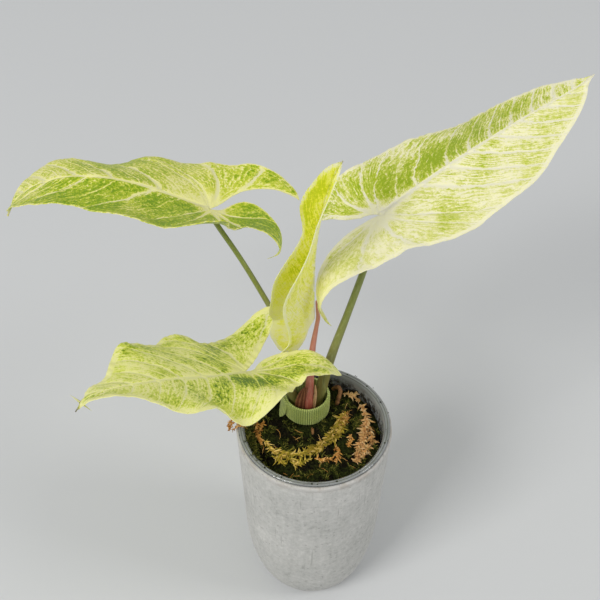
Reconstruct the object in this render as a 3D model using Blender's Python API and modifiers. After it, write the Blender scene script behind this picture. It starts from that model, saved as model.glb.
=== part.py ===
"""A potted syngonium: three open arrow-shaped leaves and a young folded one, tied together,
in a clear inner pot that hangs in a pale cover pot. Millimetres in the values, metres in the
meshes, +Z up, origin under the middle of the cover pot's foot."""

import math
import random

import bmesh
import bpy
import numpy as np
from mathutils import Matrix, Vector

MM = 0.001
DEG = math.pi / 180
CLEAR = 0.3

# Cover pot, a tumbler with a long rounded base
POT_HEIGHT = 122.7
RIM_RADIUS = 40.2
WAIST_RADIUS = 37.0
WAIST_HEIGHT = 60.0
FOOT_RADIUS = 20.0
POT_WALL = 3.0
POT_FLOOR = 5.0
RIM_ROUND = 1.2
POT_STEPS = 48

# Inner pot of clear plastic, hung by its lip
LIP_RADIUS = 39.3
LIP_THICK = 1.3
INNER_TOP_RADIUS = 36.5
INNER_FLOOR_RADIUS = 27.9
INNER_WALL = 0.9
INNER_FLOOR_HEIGHT = 28.0
DRAIN_RADIUS = 3.0
DRAIN_RING = 17.0
DRAIN_COUNT = 6

# Potting mix
SOIL_HEIGHT = 115.0
SOIL_RINGS = (0.0, 6.0, 12.0, 18.0, 24.0, 30.0)
SOIL_STEPS = 40

# Crown, the short stem that the leaf stalks stand on
CROWN = (-4.0, 16.0)
CROWN_RADIUS = 8.6
CROWN_TOP = 119.0
CROWN_BOTTOM = 98.0
HOLE_CLEAR = 0.4

# Plant tie round the stalks
TIE_RADIUS = 11.7
TIE_WALL = 1.0
TIE_BOTTOM = 117.4
TIE_HEIGHT = 11.6
TIE_RIBS = 36
RIB_HEIGHT = 0.45

# Leaves
BLADE_THICK = 0.7
LEAF_ROWS = 30
LOBE_ROWS = 9
LEAF_COLUMNS = 5
FRONT_STATIONS = (0.0, 0.18, 0.38, 0.58, 0.75, 0.88, 0.96)
LOBE_STATIONS = (0.25, 0.5, 0.75, 0.93)
SINUS_STATIONS = (0.12, 0.35, 0.7)
PLAIN_REACH = 0.55

# Each leaf is a flat arrow shape that is folded, arched and placed. Right and left are as seen
# from above with the tip ahead. Widths are shares of half_width, angles are degrees.
#   root: where the stalk meets the blade; heading, pitch, roll: how the midrib sets out
#   turn, arch, tip_arch, twist: how it curves on its way to the tip
#   lobe, reach: how far a back lobe runs and how far out its tip lies
#   outer, sinus: its two edges; fold: angle of the half at root, middle and tip
#   cup: how much the half curls down across; swing, lift, curl, lobe_roll: how the lobe bends
#   span: the share of the lobe over which the lift sets in
#   wave: height, length and phase of the ripple in the margin
LEAVES = {
    "leaf_right": dict(
        root=(30.1, 55.2, 219.0), heading=24.5, pitch=30.5, roll=2.0,
        turn=2.0, arch=(-11.5, -11.5), tip_arch=20.0, twist=-2.0,
        length=121.0, half_width=36.5,
        front=(0.92, 1.08, 0.99, 0.88, 0.62, 0.39, 0.18),
        right=dict(lobe=57.0, reach=0.44, outer=(0.89, 0.86, 0.66, 0.56),
                   sinus=(-0.05, -0.04, 0.20), fold=(8.0, -17.0, -16.0), lobe_fold=5.0,
                   cup=-4.0, swing=23.0, lift=-26.0, span=0.6, curl=118.0, lobe_roll=10.0,
                   wave=(-0.6, 44.0, 0.43)),
        left=dict(lobe=36.0, reach=0.55, outer=(0.93, 0.92, 0.86, 0.72),
                  sinus=(0.10, 0.17, 0.39), fold=(11.0, -20.0, -3.0), lobe_fold=-9.0,
                  cup=3.0, swing=-26.0, lift=-22.0, span=0.6, curl=24.0, lobe_roll=10.0,
                  wave=(-2.0, 55.0, 0.0))),
    "leaf_left": dict(
        root=(-53.6, 61.6, 215.6), heading=183.2, pitch=28.0, roll=-2.6,
        turn=-2.4, arch=(18.7, -119.7), tip_arch=2.9, twist=-9.5,
        length=114.9, half_width=37.0,
        front=(1.05, 1.10, 1.04, 0.70, 0.67, 0.35, 0.09),
        right=dict(lobe=41.0, reach=0.60, outer=(0.95, 0.93, 0.81, 0.67),
                   sinus=(0.13, 0.39, 0.49), fold=(14.0, -10.1, 25.7), lobe_fold=6.2,
                   cup=18.9, swing=-10.2, lift=-35.1, span=0.6, curl=68.6, lobe_roll=4.4,
                   wave=(2.8, 48.3, -0.36)),
        left=dict(lobe=49.4, reach=0.39, outer=(0.76, 0.76, 0.66, 0.50),
                  sinus=(-0.08, -0.34, 0.14), fold=(12.7, -13.8, 14.0), lobe_fold=2.0,
                  cup=-37.9, swing=-40.7, lift=-90.3, span=0.75, curl=220.1, lobe_roll=5.4,
                  wave=(1.6, 37.2, -0.97))),
    "leaf_young": dict(
        root=(-0.5, 28.3, 173.1), heading=14.0, pitch=93.0, roll=-7.0,
        turn=9.0, arch=(-5.0, -19.5), tip_arch=-10.0, twist=-12.5,
        length=99.0, half_width=23.2,
        front=(0.89, 1.09, 0.96, 0.57, 0.64, 0.38, 0.19),
        right=dict(lobe=24.0, reach=0.56, outer=(0.93, 0.95, 0.88, 0.75),
                   sinus=(0.22, 0.28, 0.40), fold=(57.0, 53.0, 36.0), lobe_fold=7.0,
                   cup=-8.0, swing=-7.0, lift=-8.0, span=0.6, curl=-2.0, lobe_roll=7.0,
                   wave=(-1.8, 47.5, 0.04)),
        left=dict(lobe=25.5, reach=0.60, outer=(0.94, 0.97, 0.88, 0.75),
                  sinus=(0.16, 0.28, 0.40), fold=(62.0, 84.0, 36.0), lobe_fold=2.0,
                  cup=-18.0, swing=2.0, lift=-6.0, span=0.6, curl=-1.0, lobe_roll=-2.0,
                  wave=(-1.4, 44.0, -0.19))),
    "leaf_front": dict(
        root=(-34.3, -4.0, 168.6), heading=226.0, pitch=31.0, roll=-13.0,
        turn=-9.5, arch=(26.5, -48.0), tip_arch=-71.0, twist=-16.0,
        length=105.0, half_width=35.0,
        front=(0.91, 1.12, 0.95, 0.87, 0.46, 0.35, 0.16),
        right=dict(lobe=41.5, reach=0.64, outer=(0.92, 0.89, 0.85, 0.73),
                   sinus=(0.06, 0.18, 0.39), fold=(8.5, 19.0, -22.0), lobe_fold=9.0,
                   cup=12.5, swing=-10.0, lift=-29.0, span=0.6, curl=3.0, lobe_roll=10.0,
                   wave=(3.5, 53.0, 0.15)),
        left=dict(lobe=50.0, reach=0.60, outer=(0.92, 0.91, 0.84, 0.70),
                  sinus=(0.0, -0.12, 0.24), fold=(13.5, -17.0, 16.0), lobe_fold=-11.0,
                  cup=-1.0, swing=-20.0, lift=-66.0, span=0.6, curl=126.0, lobe_roll=12.0,
                  wave=(4.9, 37.0, 0.78))),
}

# Leaf stalks: leaf carried, route from the crown up, radius at each point, and how far the
# stalk runs on under the blade as its keel
STALKS = {
    "petiole_right": dict(
        leaf="leaf_right", keel=16.0, keel_radii=(1.6, 1.3, 0.8),
        route=((2.0, 16.4, 119.3), (2.1, 16.4, 122.5), (4.0, 18.0, 131.5), (8.2, 23.4, 149.8),
               (15.9, 32.3, 172.4), (23.2, 40.6, 195.0)),
        radius=(2.4, 2.5, 2.6, 2.4, 1.9, 1.75)),
    "petiole_left": dict(
        leaf="leaf_left", keel=14.0, keel_radii=(1.35, 1.1, 0.7),
        route=((-3.4, 21.6, 119.3), (-3.6, 21.9, 123.0), (-4.6, 23.0, 132.0),
               (-10.2, 31.6, 144.0), (-24.6, 46.6, 164.0), (-37.6, 53.8, 187.0)),
        radius=(2.2, 2.1, 1.9, 1.6, 1.45, 1.35)),
    "petiole_young": dict(
        leaf="leaf_young", keel=12.0, keel_radii=(1.1, 0.7, 0.5),
        route=((-3.3, 10.9, 119.3), (-3.2, 11.0, 123.0), (-2.9, 12.0, 131.0),
               (-2.3, 16.2, 144.0), (-1.5, 21.8, 157.0)),
        radius=(2.5, 2.5, 2.4, 2.0, 1.6)),
    "petiole_front": dict(
        leaf="leaf_front", keel=14.0, keel_radii=(1.7, 1.4, 0.8),
        route=((-9.6, 15.2, 119.3), (-10.1, 15.2, 123.0), (-11.9, 14.6, 131.0),
               (-15.6, 12.2, 141.0), (-22.5, 6.0, 152.5)),
        radius=(2.6, 2.6, 2.4, 2.2, 2.0)),
}
STALK_POINTS = 20
KEEL_PLACES = (0.0, 0.5, 1.0)
KEEL_GAPS = (0.8, 0.4, 0.4)

# Thin dry scales among the stalks: foot, tip, width and thickness
SCALES = {
    "sheath_brown": dict(foot=(-7.9, 10.2, 119.3), tip=(-8.4, 10.6, 134.5), width=3.0, thick=0.8,
                         turn=-30.0),
    "sheath_dry": dict(foot=(0.6, 11.2, 119.3), tip=(0.2, 13.4, 137.0), width=2.4, thick=0.7,
                       turn=-35.0),
}

# Roots: routes in the soil, first point inside the crown
ROOTS = (
    ((-4.0, 16.0, 101.0), (-12.0, 10.0, 92.0), (-17.0, 2.0, 76.0), (-15.0, -6.0, 58.0)),
    ((-4.0, 16.0, 101.0), (4.0, 8.0, 93.0), (13.0, 0.0, 78.0), (16.0, -8.0, 62.0)),
    ((-4.0, 16.0, 101.0), (-3.0, 20.0, 88.0), (3.0, 21.0, 70.0), (8.0, 16.0, 52.0)),
    ((-4.0, 16.0, 101.0), (-5.0, 8.0, 88.0), (-2.0, -2.0, 72.0), (0.0, -9.0, 50.0)),
)
ROOT_RADII = (1.8, 1.5, 1.2, 0.9)
AIR_ROOT = ((-2.6, 12.0, 110.0), (-0.8, 5.2, 114.0), (0.0, 0.2, 115.6), (0.3, -4.6, 111.0))
AIR_ROOT_RADII = (1.6, 1.7, 1.6, 1.3)

# A brown root that arches out of the soil beside the tie
LOOP_ROUTE = ((10.1, 31.0, 111.5), (10.5, 31.1, 115.0), (12.8, 29.3, 118.8), (13.9, 25.2, 120.3),
              (12.9, 21.2, 118.4), (11.9, 19.6, 115.0), (11.7, 19.2, 111.5))
LOOP_RADIUS = 1.1

# Moss sprigs on the soil: route in plan, core radius, leaflets and their length
SPRIGS = {
    "moss_tan_right": dict(route=((24.2, 18.0), (27.2, 12.5), (27.8, 5.0), (26.2, -6.0),
                                  (24.2, -14.0), (22.0, -18.8)),
                           core=1.0, leaflets=18, long=4.8, seed=3),
    "moss_gold_middle": dict(route=((15.6, 12.6), (13.4, 7.5), (9.6, 0.8), (3.1, -8.6),
                                    (-1.6, -13.4), (-4.2, -15.4)),
                             core=1.0, leaflets=18, long=4.6, seed=21),
    "moss_gold_left": dict(route=((-24.6, -10.4), (-22.2, -14.0), (-17.5, -17.2),
                                  (-12.0, -19.4)),
                           core=0.9, leaflets=10, long=4.0, seed=8),
    "moss_orange_left": dict(route=((-29.8, 6.0), (-30.0, 1.0), (-29.2, -4.0)),
                             core=0.9, leaflets=8, long=3.0, seed=11),
    "moss_tan_back": dict(route=((17.4, 24.4), (19.4, 24.6), (21.4, 24.0)),
                          core=0.7, leaflets=5, long=2.3, seed=17),
}
SPRIG_LIFT = 0.45


def smooth_line(points, count):
    """Catmull-Rom line through the points, evenly spaced from point to point."""
    given = np.array(points, float)
    given = np.vstack([2 * given[0] - given[1], given, 2 * given[-1] - given[-2]])
    spans = len(given) - 3
    place = np.linspace(0, spans, count)
    first = np.minimum(place.astype(int), spans - 1)
    share = (place - first)[:, None]
    a, b, c, d = (given[first + step] for step in range(4))
    return 0.5 * (2 * b + (c - a) * share + (2 * a - 5 * b + 4 * c - d) * share ** 2
                  + (3 * b - a - 3 * c + d) * share ** 3)


def ease(share):
    """Smooth step from 0 to 1."""
    share = np.clip(share, 0, 1)
    return share * share * (3 - 2 * share)


def leaf_edges(along, leaf, half):
    """Inner and outer edge of one flat half, in mm from the midrib line, at places along it."""
    lobe = half["lobe"]
    spread = half["reach"] - PLAIN_REACH
    outer = [(-lobe, half["reach"])]
    for place, width in zip(LOBE_STATIONS[::-1], half["outer"][::-1]):
        outer.append((-place * lobe, width + spread * place ** 2))
    for place, width in zip(FRONT_STATIONS, leaf["front"]):
        outer.append((place * leaf["length"], width))
    outer.append((leaf["length"], 0.0))
    inner = [(0.0, 0.0)]
    for place, width in zip(SINUS_STATIONS, half["sinus"]):
        inner.append((place * lobe, width + spread * place ** 2))
    inner.append((lobe, half["reach"]))
    outer = smooth_line(outer, 240)
    inner = smooth_line(inner, 120)
    far = np.interp(along, np.maximum.accumulate(outer[:, 0]), outer[:, 1])
    near = np.interp(-along, np.maximum.accumulate(inner[:, 0]), inner[:, 1])
    near = np.where(along >= 0, 0.0, near)
    return near * leaf["half_width"], far * leaf["half_width"]


def leaf_spine(leaf, half, samples=60):
    """Points, side directions and up directions along the midrib and on behind it, where the
    line carries the lobe of this half."""
    length = leaf["length"]
    lobe = half["lobe"]
    along = np.concatenate([np.linspace(-lobe, 0, samples)[:-1], np.linspace(0, length, samples)])
    front = np.clip(along / length, 0, 1)
    back = np.clip(-along / lobe, 0, 1)
    heading = leaf["heading"] + leaf["turn"] * front + half["swing"] * back ** 1.5
    pitch = (leaf["pitch"] + leaf["arch"][0] * front + leaf["arch"][1] * front ** 2
             + leaf["tip_arch"] * np.clip((front - 0.85) / 0.15, 0, 1) ** 2
             + half["lift"] * ease(back / half["span"]) + half["curl"] * back ** 3)
    roll = leaf["roll"] + leaf["twist"] * front + half["lobe_roll"] * back ** 1.5
    h, p, r = heading * DEG, pitch * DEG, roll * DEG
    ahead = np.stack([np.cos(p) * np.cos(h), np.cos(p) * np.sin(h), np.sin(p)], 1)
    level = np.stack([np.sin(h), -np.cos(h), 0 * h], 1)
    above = np.cross(level, ahead)
    side = np.cos(r)[:, None] * level + np.sin(r)[:, None] * above
    up = -np.sin(r)[:, None] * level + np.cos(r)[:, None] * above
    steps = 0.5 * (ahead[1:] + ahead[:-1]) * np.diff(along)[:, None]
    points = np.vstack([[0, 0, 0], np.cumsum(steps, 0)])
    points = points - points[samples - 1] + np.array(leaf["root"])
    return along, points, side, up


def bend_leaf(across, along, leaf, name):
    """Places of flat points in space, mm. across is the distance out from the midrib line."""
    half = leaf[name]
    sign = 1.0 if name == "right" else -1.0
    line, points, side, up = leaf_spine(leaf, half)
    at = [np.stack([np.interp(along, line, table[:, k]) for k in range(3)], -1)
          for table in (points, side, up)]
    front = np.clip(along / leaf["length"], 0, 1)
    back = np.clip(-along / half["lobe"], 0, 1)
    root, middle, tip = half["fold"]
    fold = (root * (1 - front) * (1 - 2 * front) + 4 * middle * front * (1 - front)
            + tip * front * (2 * front - 1) + half["lobe_fold"] * back ** 1.5)
    bow = half["cup"] * DEG / leaf["half_width"]
    angle = fold * DEG - bow * across / 2
    chord = across * np.sinc(bow * across / (2 * np.pi))
    height, length, phase = half["wave"]
    ripple = (height * np.clip(across / leaf["half_width"], 0, 1.2) ** 2
              * np.sin(2 * np.pi * (along / length + phase)))
    out = chord * np.cos(angle)
    rise = chord * np.sin(angle) + ripple
    return at[0] + (sign * out)[..., None] * at[1] + rise[..., None] * at[2]


def ground(x, y):
    """Height of the uneven potting mix, mm."""
    return (SOIL_HEIGHT + 0.7 * math.sin(0.13 * x + 0.7) * math.cos(0.11 * y - 0.4)
            + 0.5 * math.sin(0.31 * x - 0.23 * y + 1.1))


def clear_scene():
    for item in list(bpy.data.objects):
        bpy.data.objects.remove(item, do_unlink=True)


def make_collection(name):
    collection = bpy.data.collections.new(name)
    bpy.context.scene.collection.children.link(collection)
    return collection


def make_material(name, color, roughness, metallic=0.0, transmission=0.0):
    material = bpy.data.materials.new(name)
    material.use_nodes = True
    shader = material.node_tree.nodes["Principled BSDF"]
    shader.inputs["Base Color"].default_value = (*color, 1.0)
    shader.inputs["Roughness"].default_value = roughness
    shader.inputs["Metallic"].default_value = metallic
    shader.inputs["Transmission Weight"].default_value = transmission
    return material


def add_object(name, data, material, collection):
    item = bpy.data.objects.new(name, data)
    if material:
        data.materials.append(material)
    collection.objects.link(item)
    return item


def smooth_shade(mesh):
    mesh.shade_smooth()
    mesh.set_sharp_from_angle(angle=40 * DEG)


def mesh_from(work, name):
    mesh = bpy.data.meshes.new(name)
    work.to_mesh(mesh)
    work.free()
    return mesh


def evaluated_mesh(item):
    """A plain mesh of the object with its modifiers applied and its doubles welded."""
    bpy.context.view_layer.update()
    graph = bpy.context.evaluated_depsgraph_get()
    mesh = bpy.data.meshes.new_from_object(item.evaluated_get(graph))
    work = bmesh.new()
    work.from_mesh(mesh)
    bmesh.ops.remove_doubles(work, verts=work.verts, dist=0.002 * MM)
    work.to_mesh(mesh)
    work.free()
    return mesh


def make_plain(item, material, collection):
    """Replace a curve or a modified object by its own plain mesh, in the same place."""
    name = item.name
    matrix = item.matrix_world.copy()
    mesh = evaluated_mesh(item)
    bpy.data.objects.remove(item, do_unlink=True)
    mesh.materials.clear()
    plain = add_object(name, mesh, material, collection)
    plain.matrix_world = matrix
    return plain


def turned(name, profile, steps, material, collection):
    """A solid turned about the Z axis from (radius, height) points, its outer side top down."""
    work = bmesh.new()
    verts = [work.verts.new((r * MM, 0, z * MM)) for r, z in profile]
    for first, second in zip(verts, verts[1:]):
        work.edges.new((first, second))
    item = add_object(name, mesh_from(work, name), material, collection)
    screw = item.modifiers.new("turn", "SCREW")
    screw.steps = steps
    screw.render_steps = steps
    screw.use_merge_vertices = True
    screw.merge_threshold = 0.00005
    screw.use_smooth_shade = True
    return item


def tube(name, route, radii, count, material, collection, sides=2):
    """A tapered round stalk along a smooth route, closed at both ends."""
    path = smooth_line(route, count)
    known = np.linspace(0, 1, len(radii))
    radius = np.interp(np.linspace(0, 1, count), known, radii)
    curve = bpy.data.curves.new(name, "CURVE")
    curve.dimensions = "3D"
    curve.bevel_depth = MM
    curve.bevel_resolution = sides
    curve.use_fill_caps = True
    line = curve.splines.new("POLY")
    line.points.add(count - 1)
    for point, place, wide in zip(line.points, path, radius):
        point.co = (*(Vector(place) * MM), 1.0)
        point.radius = wide
    return add_object(name, curve, material, collection)


def union(name, parts, material, collection, solver="EXACT"):
    """Fuse the plain meshes in parts into one body."""
    base = parts[0]
    helpers = bpy.data.collections.new(name + "_parts")
    bpy.context.scene.collection.children.link(helpers)
    for part in parts[1:]:
        collection.objects.unlink(part)
        helpers.objects.link(part)
    join = base.modifiers.new("join", "BOOLEAN")
    join.operation = "UNION"
    join.solver = solver
    join.operand_type = "COLLECTION"
    join.collection = helpers
    base.name = name
    whole = make_plain(base, material, collection)
    for part in list(helpers.objects):
        bpy.data.objects.remove(part, do_unlink=True)
    bpy.data.collections.remove(helpers)
    whole.name = name
    smooth_shade(whole.data)
    return whole


def cut(item, cutter, cutters):
    """Cut the cutter out of the item; the cutter stays, hidden, as a wire."""
    for owner in list(cutter.users_collection):
        owner.objects.unlink(cutter)
    cutters.objects.link(cutter)
    cutter.hide_render = True
    cutter.display_type = "WIRE"
    hole = item.modifiers.new("cut " + cutter.name, "BOOLEAN")
    hole.operation = "DIFFERENCE"
    hole.solver = "EXACT"
    hole.object = cutter


def cylinder(name, radius, bottom, top, centre, material, collection, segments=24):
    work = bmesh.new()
    place = Matrix.Translation((centre[0] * MM, centre[1] * MM, (bottom + top) / 2 * MM))
    bmesh.ops.create_cone(work, cap_ends=True, segments=segments, radius1=radius * MM,
                          radius2=radius * MM, depth=(top - bottom) * MM, matrix=place)
    return add_object(name, mesh_from(work, name), material, collection)


def pot_outer(height):
    """Outer radius of the cover pot at a height below its rim's rounding."""
    if height >= WAIST_HEIGHT:
        share = (height - WAIST_HEIGHT) / (POT_HEIGHT - WAIST_HEIGHT)
        return WAIST_RADIUS + (RIM_RADIUS - WAIST_RADIUS) * share
    sink = (WAIST_HEIGHT - height) / WAIST_HEIGHT
    return FOOT_RADIUS + (WAIST_RADIUS - FOOT_RADIUS) * math.sqrt(max(0.0, 1 - sink * sink))


def inner_outer(height):
    """Outer radius of the inner pot's tapered wall."""
    share = (height - INNER_FLOOR_HEIGHT) / (POT_HEIGHT - INNER_FLOOR_HEIGHT)
    return INNER_FLOOR_RADIUS + (INNER_TOP_RADIUS - INNER_FLOOR_RADIUS) * share


def build_cover_pot(material, parts):
    inside = [(0.0, POT_FLOOR), (pot_outer(POT_FLOOR) - POT_WALL - 3.0, POT_FLOOR)]
    for height in (10.0, 17.0, 28.0, 42.0, 60.0, 90.0):
        inside.append((pot_outer(height) - POT_WALL, height))
    rim = [(RIM_RADIUS - POT_WALL, POT_HEIGHT), (RIM_RADIUS - RIM_ROUND, POT_HEIGHT)]
    rim += [(RIM_RADIUS - 0.35 * RIM_ROUND, POT_HEIGHT - 0.35 * RIM_ROUND),
            (pot_outer(POT_HEIGHT - RIM_ROUND), POT_HEIGHT - RIM_ROUND)]
    outside = []
    for height in (90.0, 60.0, 45.0, 32.0, 21.0, 12.0, 6.0, 2.5, 0.8):
        outside.append((pot_outer(height), height))
    foot = [(FOOT_RADIUS, 0.0), (0.0, 0.0)]
    return turned("cover_pot", inside + rim + outside + foot, POT_STEPS, material, parts)


def build_inner_pot(material, parts, cutters):
    lip_bottom = POT_HEIGHT + CLEAR
    lip_top = lip_bottom + LIP_THICK
    floor = INNER_FLOOR_HEIGHT
    profile = [(0.0, floor + INNER_WALL),
               (inner_outer(floor) - INNER_WALL, floor + INNER_WALL),
               (inner_outer(80.0) - INNER_WALL, 80.0),
               (INNER_TOP_RADIUS - INNER_WALL, lip_top - 0.5),
               (INNER_TOP_RADIUS - INNER_WALL + 0.6, lip_top),
               (LIP_RADIUS - 0.4, lip_top), (LIP_RADIUS, lip_top - 0.4), (LIP_RADIUS, lip_bottom),
               (INNER_TOP_RADIUS + 0.1, lip_bottom), (inner_outer(80.0), 80.0),
               (INNER_FLOOR_RADIUS, floor), (0.0, floor)]
    pot = turned("inner_pot", profile, POT_STEPS, material, parts)
    for index in range(DRAIN_COUNT):
        angle = 2 * math.pi * index / DRAIN_COUNT
        centre = (DRAIN_RING * math.cos(angle), DRAIN_RING * math.sin(angle))
        drill = cylinder(f"drain_{index}", DRAIN_RADIUS, floor - 2, floor + 4, centre, None, parts,
                         12)
        cut(pot, drill, cutters)
    return pot


def crown_pieces(name, extra, material, parts):
    """The stub and its roots as separate closed meshes, each grown by extra."""
    pieces = [cylinder(name, CROWN_RADIUS + extra, CROWN_BOTTOM - extra, CROWN_TOP + extra,
                       CROWN, material, parts, 24)]
    routes = [(route, ROOT_RADII) for route in ROOTS] + [(AIR_ROOT, AIR_ROOT_RADII)]
    for index, (route, radii) in enumerate(routes):
        reach = [np.array(point) for point in route]
        last = reach[-1] - reach[-2]
        reach[-1] = reach[-1] + last / np.linalg.norm(last) * extra
        wide = [radius + extra for radius in radii]
        root = tube(f"{name}_root_{index}", reach, wide, 10, material, parts, 1)
        pieces.append(make_plain(root, material, parts))
    return pieces


def build_crown(material, parts):
    return union("crown", crown_pieces("crown_stub", 0.0, material, parts), material, parts)


def build_soil(material, parts, cutters):
    floor = INNER_FLOOR_HEIGHT + INNER_WALL + CLEAR
    gap = INNER_WALL + CLEAR
    top_radius = inner_outer(SOIL_HEIGHT) - gap - 0.1
    profile = [(radius, SOIL_HEIGHT) for radius in SOIL_RINGS] + [(top_radius, SOIL_HEIGHT)]
    profile += [(inner_outer(80.0) - gap - 0.1, 80.0), (inner_outer(floor) - gap - 0.3, floor),
                (0.0, floor)]
    soil = make_plain(turned("soil", profile, SOIL_STEPS, material, parts), material, parts)
    for vert in soil.data.vertices:
        if vert.co.z > (SOIL_HEIGHT - 1) * MM:
            vert.co.z = ground(vert.co.x / MM, vert.co.y / MM) * MM
    well = union("crown_well", crown_pieces("well", HOLE_CLEAR, None, parts), None, parts)
    cut(soil, well, cutters)
    loop = tube("loop_well", LOOP_ROUTE, [LOOP_RADIUS + HOLE_CLEAR] * 2, 16, None, parts, 1)
    loop = make_plain(loop, None, parts)
    loop.location.z = -HOLE_CLEAR * MM
    cut(soil, loop, cutters)
    return soil


def build_root_loop(material, parts):
    return tube("root_loop", LOOP_ROUTE, [LOOP_RADIUS] * 2, 16, material, parts, 2)


def build_tie(material, parts):
    """Ribbed band round the stalks, with its smooth end lapped over on the left."""
    around = TIE_RIBS * 3
    work = bmesh.new()
    top = TIE_BOTTOM + TIE_HEIGHT
    inner = TIE_RADIUS - TIE_WALL
    bmesh.ops.create_circle(work, cap_ends=False, segments=around, radius=TIE_RADIUS * MM)
    wall = list(work.edges)
    outer_low = list(work.verts)
    for step in range(3):
        made = bmesh.ops.extrude_edge_only(work, edges=wall)["geom"]
        wall = [e for e in made if isinstance(e, bmesh.types.BMEdge)]
        ring = [v for v in made if isinstance(v, bmesh.types.BMVert)]
        if step == 0:
            bmesh.ops.translate(work, verts=ring, vec=(0, 0, TIE_HEIGHT * MM))
        elif step == 1:
            share = inner / TIE_RADIUS
            bmesh.ops.scale(work, verts=ring, vec=(share, share, 1))
        else:
            bmesh.ops.translate(work, verts=ring, vec=(0, 0, -TIE_HEIGHT * MM))
        if step == 0:
            outer = outer_low + ring
    loose = [e for e in work.edges if e.is_boundary]
    bmesh.ops.bridge_loops(work, edges=loose)
    for vert in outer:
        angle = math.atan2(vert.co.y, vert.co.x)
        bump = RIB_HEIGHT * MM * (0.5 + 0.5 * math.cos(TIE_RIBS * angle))
        vert.co.xy += vert.co.xy.normalized() * bump
    bmesh.ops.translate(work, verts=work.verts,
                        vec=(CROWN[0] * MM, CROWN[1] * MM, TIE_BOTTOM * MM))
    bmesh.ops.recalc_face_normals(work, faces=work.faces)
    band = add_object("band", mesh_from(work, "band"), material, parts)
    flap = bmesh.new()
    bmesh.ops.create_grid(flap, x_segments=5, y_segments=4, size=0.5)
    for vert in flap.verts:
        share, rise = vert.co.x + 0.5, vert.co.y + 0.5
        narrow = 0.35 + 0.65 * rise
        angle = (196 + 26 * share * narrow) * DEG
        radius = TIE_RADIUS + 0.6 + 0.5 * share
        vert.co = Vector(((CROWN[0] + radius * math.cos(angle)) * MM,
                          (CROWN[1] + radius * math.sin(angle)) * MM,
                          (top - 0.4 - (1 - rise) * (TIE_HEIGHT + 0.4) + 0.9) * MM))
    item = add_object("flap", mesh_from(flap, "flap"), material, parts)
    thick = item.modifiers.new("thickness", "SOLIDIFY")
    thick.thickness = 1.1 * MM
    thick.offset = 0.0
    flap = make_plain(item, material, parts)
    fix = bmesh.new()
    fix.from_mesh(flap.data)
    bmesh.ops.recalc_face_normals(fix, faces=fix.faces)
    fix.to_mesh(flap.data)
    fix.free()
    return union("plant_tie", [band, flap], material, parts)


def build_stalk(name, material, parts):
    """A stalk from the crown that runs on under the midrib of its leaf."""
    shape = STALKS[name]
    leaf = LEAVES[shape["leaf"]]
    along, points, side, up = leaf_spine(leaf, leaf["right"])
    route = list(shape["route"])
    crease = math.cos(0.5 * (leaf["right"]["fold"][0] + leaf["left"]["fold"][0]) * DEG)
    for share, gap, radius in zip(KEEL_PLACES, KEEL_GAPS, shape["keel_radii"]):
        place = share * shape["keel"]
        foot = [np.interp(place, along, points[:, k]) for k in range(3)]
        out = [np.interp(place, along, up[:, k]) for k in range(3)]
        drop = BLADE_THICK / 2 / crease + gap + radius
        point = np.array(foot) - drop * np.array(out)
        if share == 0.0:
            route.append(tuple(np.array(route[-1]) * 0.3 + point * 0.7))
        route.append(tuple(point))
    radii = shape["radius"] + shape["keel_radii"][:1] + shape["keel_radii"]
    return tube(name, route, radii, STALK_POINTS, material, parts)


def build_leaf(name, material, parts):
    """One blade: a grid for each half, bent as a leaf, joined at the midrib and thickened."""
    leaf = LEAVES[name]
    share_lobe = LOBE_ROWS / LEAF_ROWS
    work = bmesh.new()
    for side in ("right", "left"):
        known = set(work.verts)
        grid = bmesh.ops.create_grid(work, x_segments=LEAF_COLUMNS, y_segments=LEAF_ROWS, size=0.5)
        fresh = grid["verts"]
        out = np.array([v.co.x + 0.5 for v in fresh])
        row = np.array([v.co.y + 0.5 for v in fresh])
        lobe = leaf[side]["lobe"]
        back = -lobe * np.clip(1 - row / share_lobe, 0, 1) ** 1.2
        ahead = np.clip((row - share_lobe) / (1 - share_lobe), 0, 1)
        front = leaf["length"] * (1 - (1 - ahead) ** 1.25)
        along = np.where(row < share_lobe - 1e-6, back, front)
        inner, outer = leaf_edges(along, leaf, leaf[side])
        across = inner + (outer - inner) * out
        for vert, place in zip(fresh, bend_leaf(across, along, leaf, side)):
            vert.co = Vector(place) * MM
        if side == "left":
            faces = [f for f in work.faces if not known.intersection(f.verts)]
            bmesh.ops.reverse_faces(work, faces=faces)
    bmesh.ops.remove_doubles(work, verts=work.verts, dist=0.01 * MM)
    bmesh.ops.triangulate(work, faces=work.faces, quad_method="SHORT_EDGE")
    mesh = mesh_from(work, name)
    mesh.shade_smooth()
    item = add_object(name, mesh, material, parts)
    thick = item.modifiers.new("thickness", "SOLIDIFY")
    thick.thickness = BLADE_THICK * MM
    thick.offset = 0.0
    thick.use_even_offset = True
    return item


def build_scale(name, material, parts):
    """A thin pointed scale, flat on one side to a stalk."""
    shape = SCALES[name]
    work = bmesh.new()
    bmesh.ops.create_cube(work, size=1.0)
    bmesh.ops.subdivide_edges(work, edges=[e for e in work.edges if abs(
        (e.verts[0].co - e.verts[1].co).z) > 0.5], cuts=3)
    foot, tip = Vector(shape["foot"]), Vector(shape["tip"])
    turn = Matrix.Rotation(shape["turn"] * DEG, 3, "Z")
    for vert in work.verts:
        rise = vert.co.z + 0.5
        narrow = 1.0 - 0.75 * rise ** 2
        flat = turn @ Vector((vert.co.x * shape["width"] * narrow, vert.co.y * shape["thick"], 0))
        vert.co = (foot.lerp(tip, rise) + flat) * MM
    return add_object(name, mesh_from(work, name), material, parts)


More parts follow.
